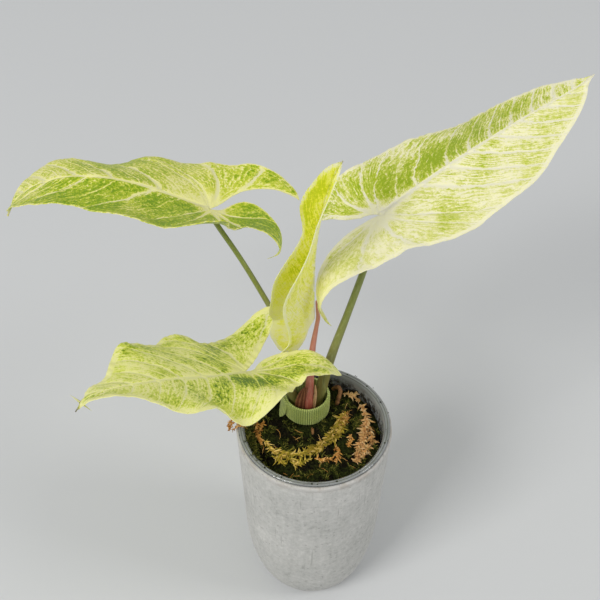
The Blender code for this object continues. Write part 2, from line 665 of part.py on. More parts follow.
def build_sprig(name, material, parts):
    """A creeping moss sprig: a slim core on the soil with leaflets to both sides, fused."""
    shape = SPRIGS[name]
    draw = random.Random(shape["seed"])
    plan = smooth_line(shape["route"], 12)
    route = [(x, y, ground(x, y) + shape["core"] + SPRIG_LIFT) for x, y in plan]
    count = 12
    core = tube(name, route, (shape["core"] * 0.6, shape["core"], shape["core"] * 0.5), count,
                material, parts, 1)
    pieces = [make_plain(core, material, parts)]
    line = smooth_line(route, shape["leaflets"] + 2)
    for index in range(1, shape["leaflets"] + 1):
        ahead = Vector(line[index + 1] - line[index - 1]).normalized()
        side = ahead.cross(Vector((0, 0, 1))) * (1 if index % 2 else -1)
        lift = Vector((0, 0, draw.uniform(0.25, 0.75)))
        aim = (side + ahead * draw.uniform(0.2, 0.6) + lift).normalized()
        long = shape["long"] * draw.uniform(0.75, 1.1)
        middle = Vector(line[index]) + aim * long * 0.45
        turn = aim.to_track_quat("Z", "Y").to_matrix().to_4x4()
        place = Matrix.Translation(middle * MM) @ turn
        work = bmesh.new()
        bmesh.ops.create_cone(work, cap_ends=True, segments=4, radius1=0.62 * MM,
                              radius2=0.16 * MM, depth=long * MM, matrix=place)
        leaflet = f"{name}_leaflet_{index}"
        pieces.append(add_object(leaflet, mesh_from(work, leaflet), material, parts))
    return union(name, pieces, material, parts)


def main():
    clear_scene()
    parts = make_collection("potted_syngonium")
    cutters = make_collection("cutters")
    stone = make_material("cover pot", (0.58, 0.58, 0.57), 0.75)
    clear = make_material("clear plastic", (0.60, 0.64, 0.66), 0.15, transmission=0.6)
    mix = make_material("potting mix", (0.03, 0.02, 0.015), 0.95)
    stem = make_material("crown", (0.25, 0.20, 0.08), 0.7)
    olive = make_material("green stalk", (0.22, 0.25, 0.08), 0.45)
    pink = make_material("young stalk", (0.45, 0.13, 0.10), 0.4)
    green = make_material("green blade", (0.30, 0.45, 0.06), 0.4)
    cream = make_material("cream blade", (0.66, 0.66, 0.32), 0.4)
    lime = make_material("young blade", (0.62, 0.70, 0.10), 0.4)
    strap = make_material("plant tie", (0.25, 0.42, 0.16), 0.6)
    brown = make_material("brown root", (0.25, 0.10, 0.04), 0.7)
    papery = make_material("dry scale", (0.60, 0.38, 0.18), 0.8)
    tan = make_material("dry moss", (0.55, 0.33, 0.15), 0.85)
    gold = make_material("golden moss", (0.45, 0.34, 0.08), 0.85)

    build_cover_pot(stone, parts)
    build_inner_pot(clear, parts, cutters)
    build_soil(mix, parts, cutters)
    build_crown(stem, parts)
    build_root_loop(brown, parts)
    build_tie(strap, parts)
    for name in STALKS:
        build_stalk(name, pink if name == "petiole_young" else olive, parts)
    blades = {"leaf_right": cream, "leaf_left": green, "leaf_young": lime, "leaf_front": cream}
    for name, material in blades.items():
        build_leaf(name, material, parts)
    build_scale("sheath_brown", brown, parts)
    build_scale("sheath_dry", papery, parts)
    for name in SPRIGS:
        build_sprig(name, gold if "gold" in name else tan, parts)


main()
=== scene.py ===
# %% [markdown]
# # A potted syngonium
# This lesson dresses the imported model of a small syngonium: three open arrow-shaped leaves and a
# young folded one, tied together, in a clear inner pot that hangs in a pale concrete-look cover
# pot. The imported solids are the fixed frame. Every finer piece below stands where a solid of the
# frame stands, and keeps its form.

# %% Load the frame and note its size
import math
import random

import bmesh
import bpy
import numpy as np
from mathutils import Matrix, Vector, kdtree, noise


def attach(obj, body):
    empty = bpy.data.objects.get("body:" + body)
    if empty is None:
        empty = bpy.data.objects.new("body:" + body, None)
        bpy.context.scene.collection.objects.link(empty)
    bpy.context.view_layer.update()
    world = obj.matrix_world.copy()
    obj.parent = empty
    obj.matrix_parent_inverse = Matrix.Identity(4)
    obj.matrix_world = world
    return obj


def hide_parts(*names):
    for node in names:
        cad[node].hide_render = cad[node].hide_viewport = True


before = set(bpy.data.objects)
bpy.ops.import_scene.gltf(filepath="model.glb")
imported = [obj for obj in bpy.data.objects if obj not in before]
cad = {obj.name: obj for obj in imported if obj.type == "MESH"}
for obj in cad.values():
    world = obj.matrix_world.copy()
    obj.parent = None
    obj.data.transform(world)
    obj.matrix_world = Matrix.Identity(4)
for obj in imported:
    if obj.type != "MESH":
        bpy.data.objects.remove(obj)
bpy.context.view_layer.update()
MM = 0.001
DEG = math.pi / 180
bpy.context.scene.view_settings.view_transform = "Standard"

# %% [markdown]
# ## The view and the light
# The plant was seen from above at 45 degrees, on a sweep of pale grey paper. Two soft shadows lie
# on the paper: one runs back and right, one runs left. So a wide lamp stands at the front left,
# a weaker one at the right, and an even sky fills in. The camera's place was worked out from the
# ellipse of the rim.

# %% Camera
PITCH = 45.67 * DEG
ROLL = 0.8 * DEG
CAMERA_PLACE = (-0.0082, -0.3867, 0.6109)


def add_object(name, data):
    """A new object in the scene."""
    item = bpy.data.objects.new(name, data)
    bpy.context.scene.collection.objects.link(item)
    return item


ahead = Vector((0, math.cos(PITCH), -math.sin(PITCH)))
right = Vector((1, 0, 0))
up = right.cross(ahead)
side = right * math.cos(ROLL) + up * math.sin(ROLL)
above = up * math.cos(ROLL) - right * math.sin(ROLL)
view = bpy.data.cameras.new("view")
view.lens, view.sensor_width = 72, 36
view.clip_start, view.clip_end = 0.05, 20
camera = add_object("view", view)
camera.matrix_world = (Matrix.Translation(CAMERA_PLACE)
                       @ Matrix((side, above, -ahead)).transposed().to_4x4())
bpy.context.scene.camera = camera
print("camera at", CAMERA_PLACE)

# %% Floor and lamps
FLOOR_SIZE = 30.0
LAMP_AIM = Vector((0, 0, 0.10))


def select_none():
    bpy.ops.object.select_all(action="DESELECT")


select_none()
bpy.ops.mesh.primitive_plane_add(size=FLOOR_SIZE)
floor = bpy.context.object
floor.name = "floor"
paper = bpy.data.materials.new("paper")
paper.use_nodes = True
sheet = paper.node_tree.nodes["Principled BSDF"].inputs
sheet["Base Color"].default_value = (0.63, 0.64, 0.645, 1)
sheet["Roughness"].default_value = 0.9
floor.data.materials.append(paper)
for name, place, size, power, colour in (
        ("lamp_left", (-1.45, -1.50, 2.05), 1.05, 41.5, (1.0, 0.99, 0.965)),
        ("lamp_right", (2.20, -0.50, 1.80), 0.80, 15.5, (1.0, 0.99, 0.97))):
    light = bpy.data.lights.new(name, "AREA")
    light.size, light.energy, light.color = size, power, colour
    lamp = add_object(name, light)
    lamp.location = place
    lamp.rotation_euler = (LAMP_AIM - Vector(place)).to_track_quat("-Z", "Y").to_euler()
    print(name, "watts:", power)
world = bpy.data.worlds.new("room")
world.use_nodes = True
sky = world.node_tree.nodes["Background"].inputs
sky["Color"].default_value = (0.97, 0.985, 1.0, 1)
sky["Strength"].default_value = 0.515
bpy.context.scene.world = world

# %% [markdown]
# ## Tools for finishes
# A finish is a small network of nodes. These helpers add one node each to the network that is
# being made. An output of a node is kept as a Wire, and Wires are added and multiplied like
# numbers, so that the cells below read like a recipe.

# %% Wires
class Wire:
    """An output of a node. Sums and products of wires add maths nodes."""

    def __init__(self, socket):
        self.socket = socket

    def __add__(self, other):
        return calc("ADD", self, other)

    def __sub__(self, other):
        return calc("SUBTRACT", self, other)

    def __rsub__(self, other):
        return calc("SUBTRACT", other, self)

    def __mul__(self, other):
        return calc("MULTIPLY", self, other)

    def __truediv__(self, other):
        return calc("DIVIDE", self, other)


def plug(socket, source):
    """Fill a socket with a wire or a value."""
    if isinstance(source, Wire):
        tree.links.new(source.socket, socket)
    else:
        socket.default_value = source


def node(kind, inputs=None, output=0, **settings):
    """Add a node, set its settings, fill its inputs, and return one of its outputs."""
    made = tree.nodes.new("ShaderNode" + kind)
    for key, value in settings.items():
        setattr(made, key, value)
    for socket, source in (inputs or {}).items():
        plug(made.inputs[socket], source)
    return Wire(made.outputs[output])


def calc(operation, *terms, clamp=False):
    return node("Math", dict(enumerate(terms)), operation=operation, use_clamp=clamp)


print("wires ready")

# %% Node helpers
def step_map(value, low, high, start=0.0, end=1.0):
    """A soft step: start where value is at low, end where it is at high."""
    return node("MapRange", {"Value": value, "From Min": low, "From Max": high, "To Min": start,
                             "To Max": end}, "Result", interpolation_type="SMOOTHSTEP")


def clouds(place, scale, detail=4.0, rough=0.5):
    return node("TexNoise", {"Vector": place, "Scale": scale, "Detail": detail,
                             "Roughness": rough}, "Fac")


def cells(place, scale, feature="DISTANCE_TO_EDGE"):
    return node("TexVoronoi", {"Vector": place, "Scale": scale}, "Distance", feature=feature)


def stretched(place, *scale):
    return node("Mapping", {"Vector": place, "Scale": scale})


def object_place():
    return node("TexCoord", output="Object")


def axis(place, letter):
    return node("SeparateXYZ", {0: place}, letter)


def vector(operation, first, second, output=0):
    return node("VectorMath", {0: first, 1: second}, output, operation=operation)


def tint(share, first, second):
    """Blend of a colour with a second one, which may be given as red, green and blue."""
    second = second if isinstance(second, Wire) else (*second, 1)
    return node("Mix", {0: share, 6: first, 7: second}, 2, data_type="RGBA")


def ramp(value, *stops):
    made = node("ValToRGB", {"Fac": value}, "Color")
    bar = made.socket.node.color_ramp
    while len(bar.elements) < len(stops):
        bar.elements.new(0.5)
    for element, (place, colour) in zip(bar.elements, stops):
        element.position = place
        element.color = (*colour, 1.0)
    return made


def relief(height, depth, strength=1.0):
    return node("Bump", {"Height": height, "Distance": depth, "Strength": strength}, "Normal")


print("node helpers ready")

# %% Materials and groups
def new_material(name):
    """A material with its own network, which the helpers then add to."""
    global tree, shader
    made = bpy.data.materials.new(name)
    made.use_nodes = True
    tree = made.node_tree
    shader = tree.nodes["Principled BSDF"]
    return made


def fill(**inputs):
    """Fill inputs of the material's shader, with _ for a space in a name."""
    for name, source in inputs.items():
        plug(shader.inputs[name.replace("_", " ")], source)


def new_group(name, vectors, values, outputs):
    """A group of nodes with named sockets, which the helpers then add to."""
    global tree
    tree = bpy.data.node_groups.new(name, "ShaderNodeTree")
    for label in vectors + values:
        kind = "NodeSocketVector" if label in vectors else "NodeSocketFloat"
        tree.interface.new_socket(label, in_out="INPUT", socket_type=kind)
    for label in outputs:
        tree.interface.new_socket(label, in_out="OUTPUT", socket_type="NodeSocketFloat")
    start = tree.nodes.new("NodeGroupInput")
    end = tree.nodes.new("NodeGroupOutput")
    return tree, {label: Wire(start.outputs[label]) for label in vectors + values}, end


def use_group(group, inputs, *outputs):
    """Place a group in the material and return the outputs that are named."""
    first = node("Group", inputs, outputs[0], node_tree=group)
    return [Wire(first.socket.node.outputs[label]) for label in outputs]


def wear(item, *finishes):
    """Give an object these materials and no others."""
    item.data.materials.clear()
    for finish in finishes:
        item.data.materials.append(finish)


print("material helpers ready")

# %% [markdown]
# ## The cover pot
# The real pot is cast and feels like fine concrete: pale grey, cloudy, with small pits, faint
# upright streaks from the mould, and a lip that is a little paler. It is turned here from its
# outline, in 128 steps, because the light runs round its wall and a coarse wall would show flats.

# %% Finishing and turning
STEPS = 128
AXIS_GAP = 0.02


def finish_piece(item, name, replaced, smooth=60):
    """Apply what is left, shade, name and hand the piece to the frame."""
    select_none()
    item.select_set(True)
    bpy.context.view_layer.objects.active = item
    for modifier in list(item.modifiers):
        bpy.ops.object.modifier_apply(modifier=modifier.name)
    bpy.ops.object.transform_apply(location=True, rotation=True, scale=True)
    bpy.ops.object.shade_smooth_by_angle(angle=smooth * DEG)
    item.name = name
    item.data.name = name
    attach(item, "root")
    if replaced:
        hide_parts(*replaced)
    print(name, "faces:", len(item.data.polygons))
    return item


def weld(distance, recalculate=True):
    """Merge doubles of the active mesh, and point its faces outwards."""
    bpy.ops.object.mode_set(mode="EDIT")
    bpy.ops.mesh.select_all(action="SELECT")
    bpy.ops.mesh.remove_doubles(threshold=distance)
    if recalculate:
        bpy.ops.mesh.normals_make_consistent(inside=False)
    bpy.ops.object.mode_set(mode="OBJECT")


def turned(outline):
    """A closed solid turned about Z from (radius, height) points, in mm."""
    select_none()
    bpy.ops.mesh.primitive_circle_add(vertices=len(outline), radius=1.0, fill_type="NOTHING")
    item = bpy.context.object
    for vert, (radius, height) in zip(item.data.vertices, outline):
        vert.co = (radius * MM, 0, height * MM)
    bpy.ops.object.mode_set(mode="EDIT")
    bpy.ops.mesh.select_all(action="SELECT")
    bpy.ops.mesh.spin(steps=STEPS, angle=2 * math.pi, center=(0, 0, 0), axis=(0, 0, 1))
    bpy.ops.object.mode_set(mode="OBJECT")
    weld(0.00002)
    return item


# %% Turn the cover pot
POT_HEIGHT = 122.7
RIM_RADIUS = 40.2
RIM_ROUND = 1.2
WAIST_RADIUS = 37.0
WAIST_HEIGHT = 60.0
FOOT_RADIUS = 20.0
POT_WALL = 3.0
POT_FLOOR = 5.0
# a shallow groove under the lip: height, and how deep it is there
GROOVE = ((119.8, 0.0), (119.3, 0.22), (118.7, 0.22), (118.2, 0.05))


def pot_outer(height):
    """Outer radius of the cover pot at a height below its rim's rounding."""
    if height >= WAIST_HEIGHT:
        share = (height - WAIST_HEIGHT) / (POT_HEIGHT - WAIST_HEIGHT)
        return WAIST_RADIUS + (RIM_RADIUS - WAIST_RADIUS) * share
    sink = (WAIST_HEIGHT - height) / WAIST_HEIGHT
    return FOOT_RADIUS + (WAIST_RADIUS - FOOT_RADIUS) * math.sqrt(max(0.0, 1 - sink * sink))


mouth = RIM_RADIUS - POT_WALL
outline = [(AXIS_GAP, POT_FLOOR), (pot_outer(POT_FLOOR) - POT_WALL - 3.0, POT_FLOOR)]
outline += [(pot_outer(height) - POT_WALL, height) for height in np.linspace(9.0, WAIST_HEIGHT, 14)]
outline += [(pot_outer(90.0) - POT_WALL, 90.0), (mouth, POT_HEIGHT - 0.5),
            (mouth + 0.15, POT_HEIGHT - 0.15), (mouth + 0.5, POT_HEIGHT)]
for turn in np.linspace(90, 0, 7):
    outline.append((RIM_RADIUS + RIM_ROUND * (math.cos(turn * DEG) - 1),
                    POT_HEIGHT + RIM_ROUND * (math.sin(turn * DEG) - 1)))
outline += [(pot_outer(height) - deep, height) for height, deep in GROOVE]
base = WAIST_HEIGHT - WAIST_HEIGHT * np.sin(np.linspace(0.06, math.pi / 2 - 0.05, 22))
outline += [(pot_outer(height), height) for height in (*np.linspace(110, WAIST_HEIGHT, 8), *base)]
outline += [(FOOT_RADIUS, 0.0), (AXIS_GAP, 0.0)]
cover_pot = finish_piece(turned(outline), "cover_pot_shell", ("cover_pot",), 30)

# %% Concrete
concrete = new_material("pale concrete")
place = object_place()
height = axis(place, "Z")
cloud = clouds(place, 30.0, 5.0, 0.62)
fine = clouds(place, 560.0, 3.0, 0.6)
speck = clouds(place, 340.0, 5.0, 0.75)
streak = clouds(stretched(place, 420.0, 420.0, 40.0), 1.0, 4.0, 0.65)
scratch = clouds(stretched(place, 700.0, 700.0, 26.0), 1.0, 2.0)
pits = step_map(cells(place, 260.0, "F1"), 0.07, 0.20)
tone = cloud * 0.30 + streak * 0.18 + fine * 0.20 + speck * 0.36
colour = ramp(tone, (0.36, (0.29, 0.29, 0.27)), (0.48, (0.46, 0.46, 0.435)),
              (0.56, (0.53, 0.525, 0.50)), (0.68, (0.66, 0.65, 0.62)))
worn = step_map(clouds(place, 34.0, 2.0), 0.48, 0.60) * step_map(scratch, 0.64, 0.74, 0.0, 0.5)
lip = step_map(height, 0.1185, 0.1200) * 0.40
stain = step_map(height, 0.116, 0.1222) * step_map(clouds(place, 120.0, 4.0, 0.7), 0.46, 0.62,
                                                  0.0, 0.6)
for share, second in ((worn, (0.27, 0.27, 0.25)), (lip, (0.60, 0.57, 0.54)),
                      (stain, (0.40, 0.36, 0.31)),
                      # painted shade: the colour darkens in the pits
                      (step_map(pits, 1.0, 0.0, 0.0, 0.55), (0.30, 0.30, 0.28))):
    colour = tint(share, colour, second)
fill(Base_Color=colour, Roughness=step_map(cloud, 0.3, 0.7, 0.7, 0.9),
     Normal=relief(fine * 0.5 + pits * 0.6 + speck * 0.5, 0.0004, 0.7))
wear(cover_pot, concrete)
print("concrete nodes:", len(tree.nodes))

# %% [markdown]
# ## The clear inner pot
# Inside hangs a thin clear nursery pot. From above it shows as a glossy grey ring: its rolled lip
# lies on the concrete rim, and a strip of its wall stands over the soil. It is turned like the
# pot. The plastic lets about half of the light through. There are grey scuffs, and dark lines of
# painted shade lie in the lip's groove and along its rolled edges. Towards the soil the wall
# darkens in dark brown blotches.

# %% Turn the inner pot
INNER_TOP_RADIUS = 36.5
INNER_FLOOR_RADIUS = 27.9
INNER_WALL = 0.9
INNER_FLOOR = 28.0
INNER_LIP = ((35.75, 121.8), (35.95, 123.0), (36.45, 123.9), (37.2, 124.28), (37.9, 124.15),
             (38.5, 124.28), (38.95, 124.1), (39.25, 123.7), (39.25, 123.15), (39.0, 123.0),
             (37.6, 123.0), (36.75, 122.6), (36.5, 121.6))


def inner_outer(height):
    """Outer radius of the inner pot's tapered wall."""
    share = (height - INNER_FLOOR) / (POT_HEIGHT - INNER_FLOOR)
    return INNER_FLOOR_RADIUS + (INNER_TOP_RADIUS - INNER_FLOOR_RADIUS) * share


top = INNER_FLOOR + INNER_WALL
outline = [(AXIS_GAP, top), (inner_outer(top) - 1.4, top)]
levels = (31.0, 60.0, 90.0, 110.0)
outline += [(inner_outer(height) - INNER_WALL, height) for height in (*levels, 118.0)]
outline += INNER_LIP
outline += [(inner_outer(height), height) for height in levels[::-1]]
outline += [(inner_outer(INNER_FLOOR) - 0.6, INNER_FLOOR), (AXIS_GAP, INNER_FLOOR)]
inner_pot = finish_piece(turned(outline), "inner_pot_shell", ("inner_pot",), 35)

# %% Clear plastic
# painted shade: dark lines in the lip's groove and along its rolled edges: radius and half width, m
LIP_SHADE_LINES = ((0.0379, 0.0004), (0.0366, 0.0003), (0.0392, 0.0003))
plastic = new_material("clear plastic")
place = object_place()
height = axis(place, "Z")
scuff = clouds(stretched(place, 90.0, 90.0, 400.0), 1.0)
# the wall darkens in dark brown blotches towards the soil
low_dark_blotches = (step_map(clouds(place, 260.0, 5.0, 0.7), 0.45, 0.55)
        * step_map(height, 0.1236, 0.1170, 0.0, 0.95))
colour = ramp(scuff, (0.3, (0.44, 0.46, 0.46)), (0.7, (0.66, 0.68, 0.68)))
radius = vector("LENGTH", vector("MULTIPLY", place, (1, 1, 0)), (0, 0, 0), "Value")
# each line paints shade onto the top of the lip
for centre, reach in LIP_SHADE_LINES:
    line = step_map(calc("ABSOLUTE", radius - centre), reach, 0.0, 0.0, 0.7)
    colour = tint(line * step_map(height, 0.1222, 0.1228), colour, (0.10, 0.11, 0.11))
fill(Base_Color=tint(low_dark_blotches, colour, (0.05, 0.035, 0.015)), IOR=1.49,
     Roughness=step_map(scuff, 0.35, 0.7, 0.03, 0.16), Transmission_Weight=0.55,
     Normal=relief(scuff, 0.0002, 0.35))
wear(inner_pot, plastic)
print("plastic nodes:", len(tree.nodes))

# %% [markdown]
# ## Potting mix
# The mix is dark brown to black, lumpy, and fills the pot to 9 mm under the rim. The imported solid
# stays and takes a soil finish. A lumpy top sheet with crumbs lies on it, because the top is all
# that shows.

# %% The lumpy top of the soil
SOIL_HEIGHT = 115.0
SOIL_RADIUS = 34.2
SOIL_CUTS = 170
LOW_FROM = 31.0


def ground(x, y):
    """Height of the uneven potting mix, mm."""
    return (SOIL_HEIGHT + 0.7 * math.sin(0.13 * x + 0.7) * math.cos(0.11 * y - 0.4)
            + 0.5 * math.sin(0.31 * x - 0.23 * y + 1.1))


def top_of_soil(x, y):
    """Height of the finished, lumpy top in mm. The lumps are lower towards the wall."""
    point = Vector((x, y, 0))
    lumps = 1.25 * noise.fractal(point * 0.16, 1.0, 2.0, 4) + 0.5 * noise.noise(point * 0.9)
    edge = 1.0 - min(1.0, max(0.0, (math.hypot(x, y) - LOW_FROM) / 3.0))
    return ground(x, y) + 0.55 + max(-0.25, lumps + 0.5) * (0.35 + 0.65 * edge)


def thicken(item, depth, offset=0.0):
    """Give a sheet a wall of this depth in mm when the piece is finished."""
    wall = item.modifiers.new("thickness", "SOLIDIFY")
    wall.thickness = depth * MM
    wall.offset = offset
    return wall


def add_grid(columns, rows, size=1.0):
    select_none()
    bpy.ops.mesh.primitive_grid_add(x_subdivisions=columns, y_subdivisions=rows, size=size)
    return bpy.context.object


soil_top = add_grid(SOIL_CUTS, SOIL_CUTS, 2 * SOIL_RADIUS * MM)
work = bmesh.new()
work.from_mesh(soil_top.data)
bmesh.ops.delete(work, geom=[v for v in work.verts if v.co.length > SOIL_RADIUS * MM],
                 context="VERTS")
for vert in work.verts:
    vert.co.z = top_of_soil(vert.co.x / MM, vert.co.y / MM) * MM
work.to_mesh(soil_top.data)
work.free()
thicken(soil_top, 0.5, -1.0)
finish_piece(soil_top, "soil_top", (), 80)

# %% Soil finish
earth = new_material("potting mix")
place = object_place()
grain = clouds(place, 900.0, 4.0, 0.65)
mossy = step_map(clouds(place, 95.0, 3.0, 0.55), 0.42, 0.58)
brown = ramp(grain, (0.34, (0.002, 0.002, 0.001)), (0.56, (0.009, 0.007, 0.003)),
             (0.75, (0.045, 0.032, 0.012)))
green = ramp(grain, (0.35, (0.003, 0.005, 0.001)), (0.7, (0.040, 0.050, 0.008)))
fill(Base_Color=tint(mossy, brown, green), Roughness=0.92, Specular_IOR_Level=0.12,
     Normal=relief(grain, 0.0009, 0.9))
wear(soil_top, earth)
wear(cad["soil"], earth)
print("soil nodes:", len(tree.nodes))

# %% [markdown]
# ## Fine threads
# Moss leaflets, fibres and the hooked end of one leaf are all thin tapered threads. One helper
# builds a whole bunch of them as one mesh: each thread is a line of points with a radius at each
# point. Moss gets three sides, because thousands of leaflets have to stay light.

# %% Thread builder
def smooth_line(points, count):
    """Catmull-Rom line through the points, evenly spaced from point to point."""
    given = np.array(points, float)
    given = np.vstack([2 * given[0] - given[1], given, 2 * given[-1] - given[-2]])
    spans = len(given) - 3
    place = np.linspace(0, spans, count)
    first = np.minimum(place.astype(int), spans - 1)
    share = (place - first)[:, None]
    a, b, c, d = (given[first + step] for step in range(4))
    return 0.5 * (2 * b + (c - a) * share + (2 * a - 5 * b + 4 * c - d) * share ** 2
                  + (3 * b - a - 3 * c + d) * share ** 3)


def bunch(name, threads, sides=3):
    """One mesh of many tapered threads. A thread is (points in mm, radii in mm, shade 0 to 1)."""
    verts, faces, shades = [], [], []
    for points, radii, shade in threads:
        points = [Vector(p) for p in points]
        start, last = len(verts), len(points) - 1
        for index, (point, radius) in enumerate(zip(points, radii)):
            ahead = (points[min(index + 1, last)] - points[max(index - 1, 0)]).normalized()
            out = ahead.orthogonal() if index == 0 else out - ahead * out.dot(ahead)
            out = out.normalized()
            other = ahead.cross(out)
            for step in range(sides):
                turn = 2 * math.pi * step / sides
                ring = out * math.cos(turn) + other * math.sin(turn)
                verts.append((point + ring * radius) * MM)
                shades.append(shade)
        for a in range(start, start + last * sides, sides):
            for step in range(sides):
                b = (step + 1) % sides
                faces.append((a + step, a + b, a + b + sides, a + step + sides))
        faces.append(tuple(range(start, start + sides))[::-1])
        faces.append(tuple(range(start + last * sides, start + (last + 1) * sides)))
    mesh = bpy.data.meshes.new(name)
    mesh.from_pydata(verts, [], faces)
    mesh.attributes.new("shade", "FLOAT", "POINT").data.foreach_set("value", shades)
    mesh.update()
    return add_object(name, mesh)


def thread_piece(name, threads, finish, replaced=(), sides=3):
    """A bunch of threads as a finished piece with a material."""
    wear(finish_piece(bunch(name, threads, sides), name, replaced), finish)


# %% Feathery sprigs
WIDTH_SHARES = (0.55, 1.0, 0.8, 0.15)


def leafy_sprig(draw, route, long, spacing, core=0.5, wide=0.5, age=0.1):
    """Threads of a feathery sprig: a stem and curved leaflets on three sides, palest at its
    start. Everything is in mm."""
    length = sum(np.linalg.norm(np.diff(np.array(route), axis=0), axis=1))
    count = max(6, int(length / spacing))
    line = smooth_line(route, count)
    age += draw.uniform(-0.15, 0.20)
    stem = [core * (0.5 + 0.5 * math.sin(math.pi * (0.1 + 0.85 * k / (count - 1))))
            for k in range(count)]
    threads = [(line, stem, 0.35)]
    for index in range(1, count):
        ahead = Vector(line[min(index + 1, count - 1)] - line[index - 1]).normalized()
        side = ahead.cross(Vector((0, 0, 1))).normalized()
        first = Vector(line[index])
        for rank in (0, 180, 90):
            turn = (draw.uniform(-30, 30) + rank) * DEG
            out = side * math.cos(turn) + Vector((0, 0, 1)) * abs(math.sin(turn)) * 0.8
            taper = 0.6 + 0.4 * math.sin(math.pi * min(1.0, index / count + 0.1))
            reach = long * draw.uniform(0.45, 1.30) * taper
            lean = (ahead * draw.uniform(0.5, 1.3) + out).normalized()
            bend = Vector((draw.uniform(-1, 1), draw.uniform(-1, 1), draw.uniform(-0.8, 0.9)))
            points = [first]
            for part in (0.33, 0.7, 1.0):
                point = first + lean * reach * part + bend * reach * 0.62 * part ** 2
                point.z = max(point.z, top_of_soil(point.x, point.y) + 0.15)
                points.append(point)
            width = wide * draw.uniform(0.5, 1.05)
            shade = 0.75 * draw.random() + age * (1 - 1.6 * index / count)
            threads.append((points, [width * share for share in WIDTH_SHARES], shade))
    return threads


def on_soil(route, rise=1.2):
    return [(x, y, top_of_soil(x, y) + rise) for x, y in route]


print("thread helpers ready")

# %% Thread finishes
thread_pattern, given, result = new_group("thread pattern", ("Place",), ("Own", "Scale"),
                                          ("Shade", "Height"))
blotch = clouds(given["Place"], given["Scale"], 3.0)
plug(result.inputs["Shade"], given["Own"] * 0.6 + blotch * 0.5)
plug(result.inputs["Height"], blotch)


def thread_finish(name, dark, middle, pale, rough=0.8):
    """Finish for moss, fibres and scales: shade of the thread, with blotches along it."""
    made = new_material(name)
    own = node("Attribute", output="Fac", attribute_name="shade")
    shade, height = use_group(thread_pattern, {"Place": object_place(), "Own": own,
                                               "Scale": 700.0}, "Shade", "Height")
    fill(Base_Color=ramp(shade, (0.15, dark), (0.50, middle), (0.85, pale)), Roughness=rough,
         Normal=relief(height, 0.0003, 0.5), Specular_IOR_Level=0.2, Subsurface_Weight=0.08,
         Subsurface_Radius=(0.001, 0.0006, 0.0003))
    return made


tan_moss = thread_finish("tan moss", (0.32, 0.15, 0.05), (0.76, 0.47, 0.19), (0.97, 0.76, 0.44))
orange_moss = thread_finish("orange moss", (0.26, 0.10, 0.02), (0.60, 0.30, 0.07),
                            (0.88, 0.57, 0.22))
gold_moss = thread_finish("golden moss", (0.055, 0.065, 0.004), (0.50, 0.37, 0.04),
                          (1.0, 0.72, 0.26))
green_moss = thread_finish("green moss", (0.005, 0.009, 0.001), (0.050, 0.062, 0.006),
                           (0.30, 0.26, 0.05))
print("moss finishes ready")

# %% [markdown]
# ## Moss on the soil
# Dry tan and orange sprigs, golden-green ones and dark green living moss creep over the mix. Each
# kind is a bunch of feathery sprigs that follow routes measured in plan. Small tufts of green
# moss are scattered by a seeded draw.

# %% Tan, orange and golden sprigs
# name, solids that it stands for, slot, finish, seed, then length, spacing and width of the
# leaflets in mm, age (how pale it starts), and the routes in plan, mm
SPRIGS = (
    ("moss_tan_right_sprays", ("moss_tan_right",), "dry_moss", tan_moss, 11, 3.1, 0.85, 0.78, 0.1, (
        ((24.0, 19.0), (26.6, 13.0), (27.2, 6.0), (25.6, -1.0), (25.2, -8.0), (23.4, -14.0)),
        ((28.6, 9.0), (27.0, 2.0), (25.2, -6.0)),
        ((24.6, -4.0), (22.8, -10.0), (22.6, -15.0), (21.4, -18.4)),
        ((27.8, -6.0), (27.0, -11.0), (25.0, -16.0)),
        ((29.6, 3.0), (30.2, -3.0), (29.8, -6.0)))),
    ("moss_tan_back_sprays", ("moss_tan_back",), "dry_moss", tan_moss, 12, 2.2, 0.8, 0.5, 0.1, (
        ((15.4, 25.6), (18.4, 25.4), (21.6, 23.6), (23.6, 21.0)),
        ((18.4, 23.0), (20.6, 24.2), (22.4, 26.2)))),
    ("moss_orange_sprays", ("moss_orange_left",), "dry_moss", orange_moss,
     13, 2.4, 0.9, 0.55, 0.1, (
        ((-29.8, 6.4), (-30.0, 1.0), (-28.6, -4.4), (-27.0, -8.6)),
        ((-26.4, 7.6), (-27.4, 3.0), (-29.0, -1.0)),
        ((0.4, -16.6), (4.4, -18.0), (9.0, -17.4)),
        ((11.0, -9.0), (12.6, -14.0), (11.4, -18.4)),
        ((17.8, 14.0), (15.6, 10.4), (13.4, 7.0)), ((19.0, 10.6), (16.6, 8.4), (15.0, 4.8)),
        ((18.4, -1.4), (19.2, -5.4), (17.6, -9.4)))),
    ("moss_gold_middle_sprays", ("moss_gold_middle",), "golden_moss", gold_moss, 14, 3.5, 0.95,
     0.66, 0.42, (
        ((16.6, 13.6), (14.4, 8.5), (11.4, 2.8), (8.0, -2.0)),
        ((12.6, 6.0), (8.6, -1.6), (3.1, -8.0), (-1.6, -12.4), (-5.2, -14.4)),
        ((17.4, 7.4), (14.2, 2.0), (11.0, -4.0), (6.0, -9.0)),
        ((8.0, -5.0), (3.0, -10.4), (-2.6, -15.0)),
        ((12.0, 8.4), (13.6, 4.0), (14.0, -2.0)))),
    ("moss_gold_left_sprays", ("moss_gold_left",), "golden_moss", gold_moss,
     15, 3.0, 0.8, 0.5, 0.1, (
        ((-25.6, -6.4), (-22.8, -11.0), (-18.5, -15.2), (-13.0, -18.0), (-9.0, -18.6)),
        ((-20.0, -11.0), (-15.4, -14.4), (-10.0, -15.4), (-4.0, -14.6)),
        ((-21.4, -16.6), (-17.4, -19.6), (-15.0, -21.6)),
        ((-12.0, -20.0), (-8.0, -21.0), (-3.0, -18.0)))))
for name, replaced, slot, finish, seed, long, spacing, wide, age, routes in SPRIGS:
    draw = random.Random(seed)
    threads = []
    for route in routes:
        threads += leafy_sprig(draw, on_soil(route), long, spacing, 0.5, wide, age)
    thread_piece(name, threads, finish, replaced)

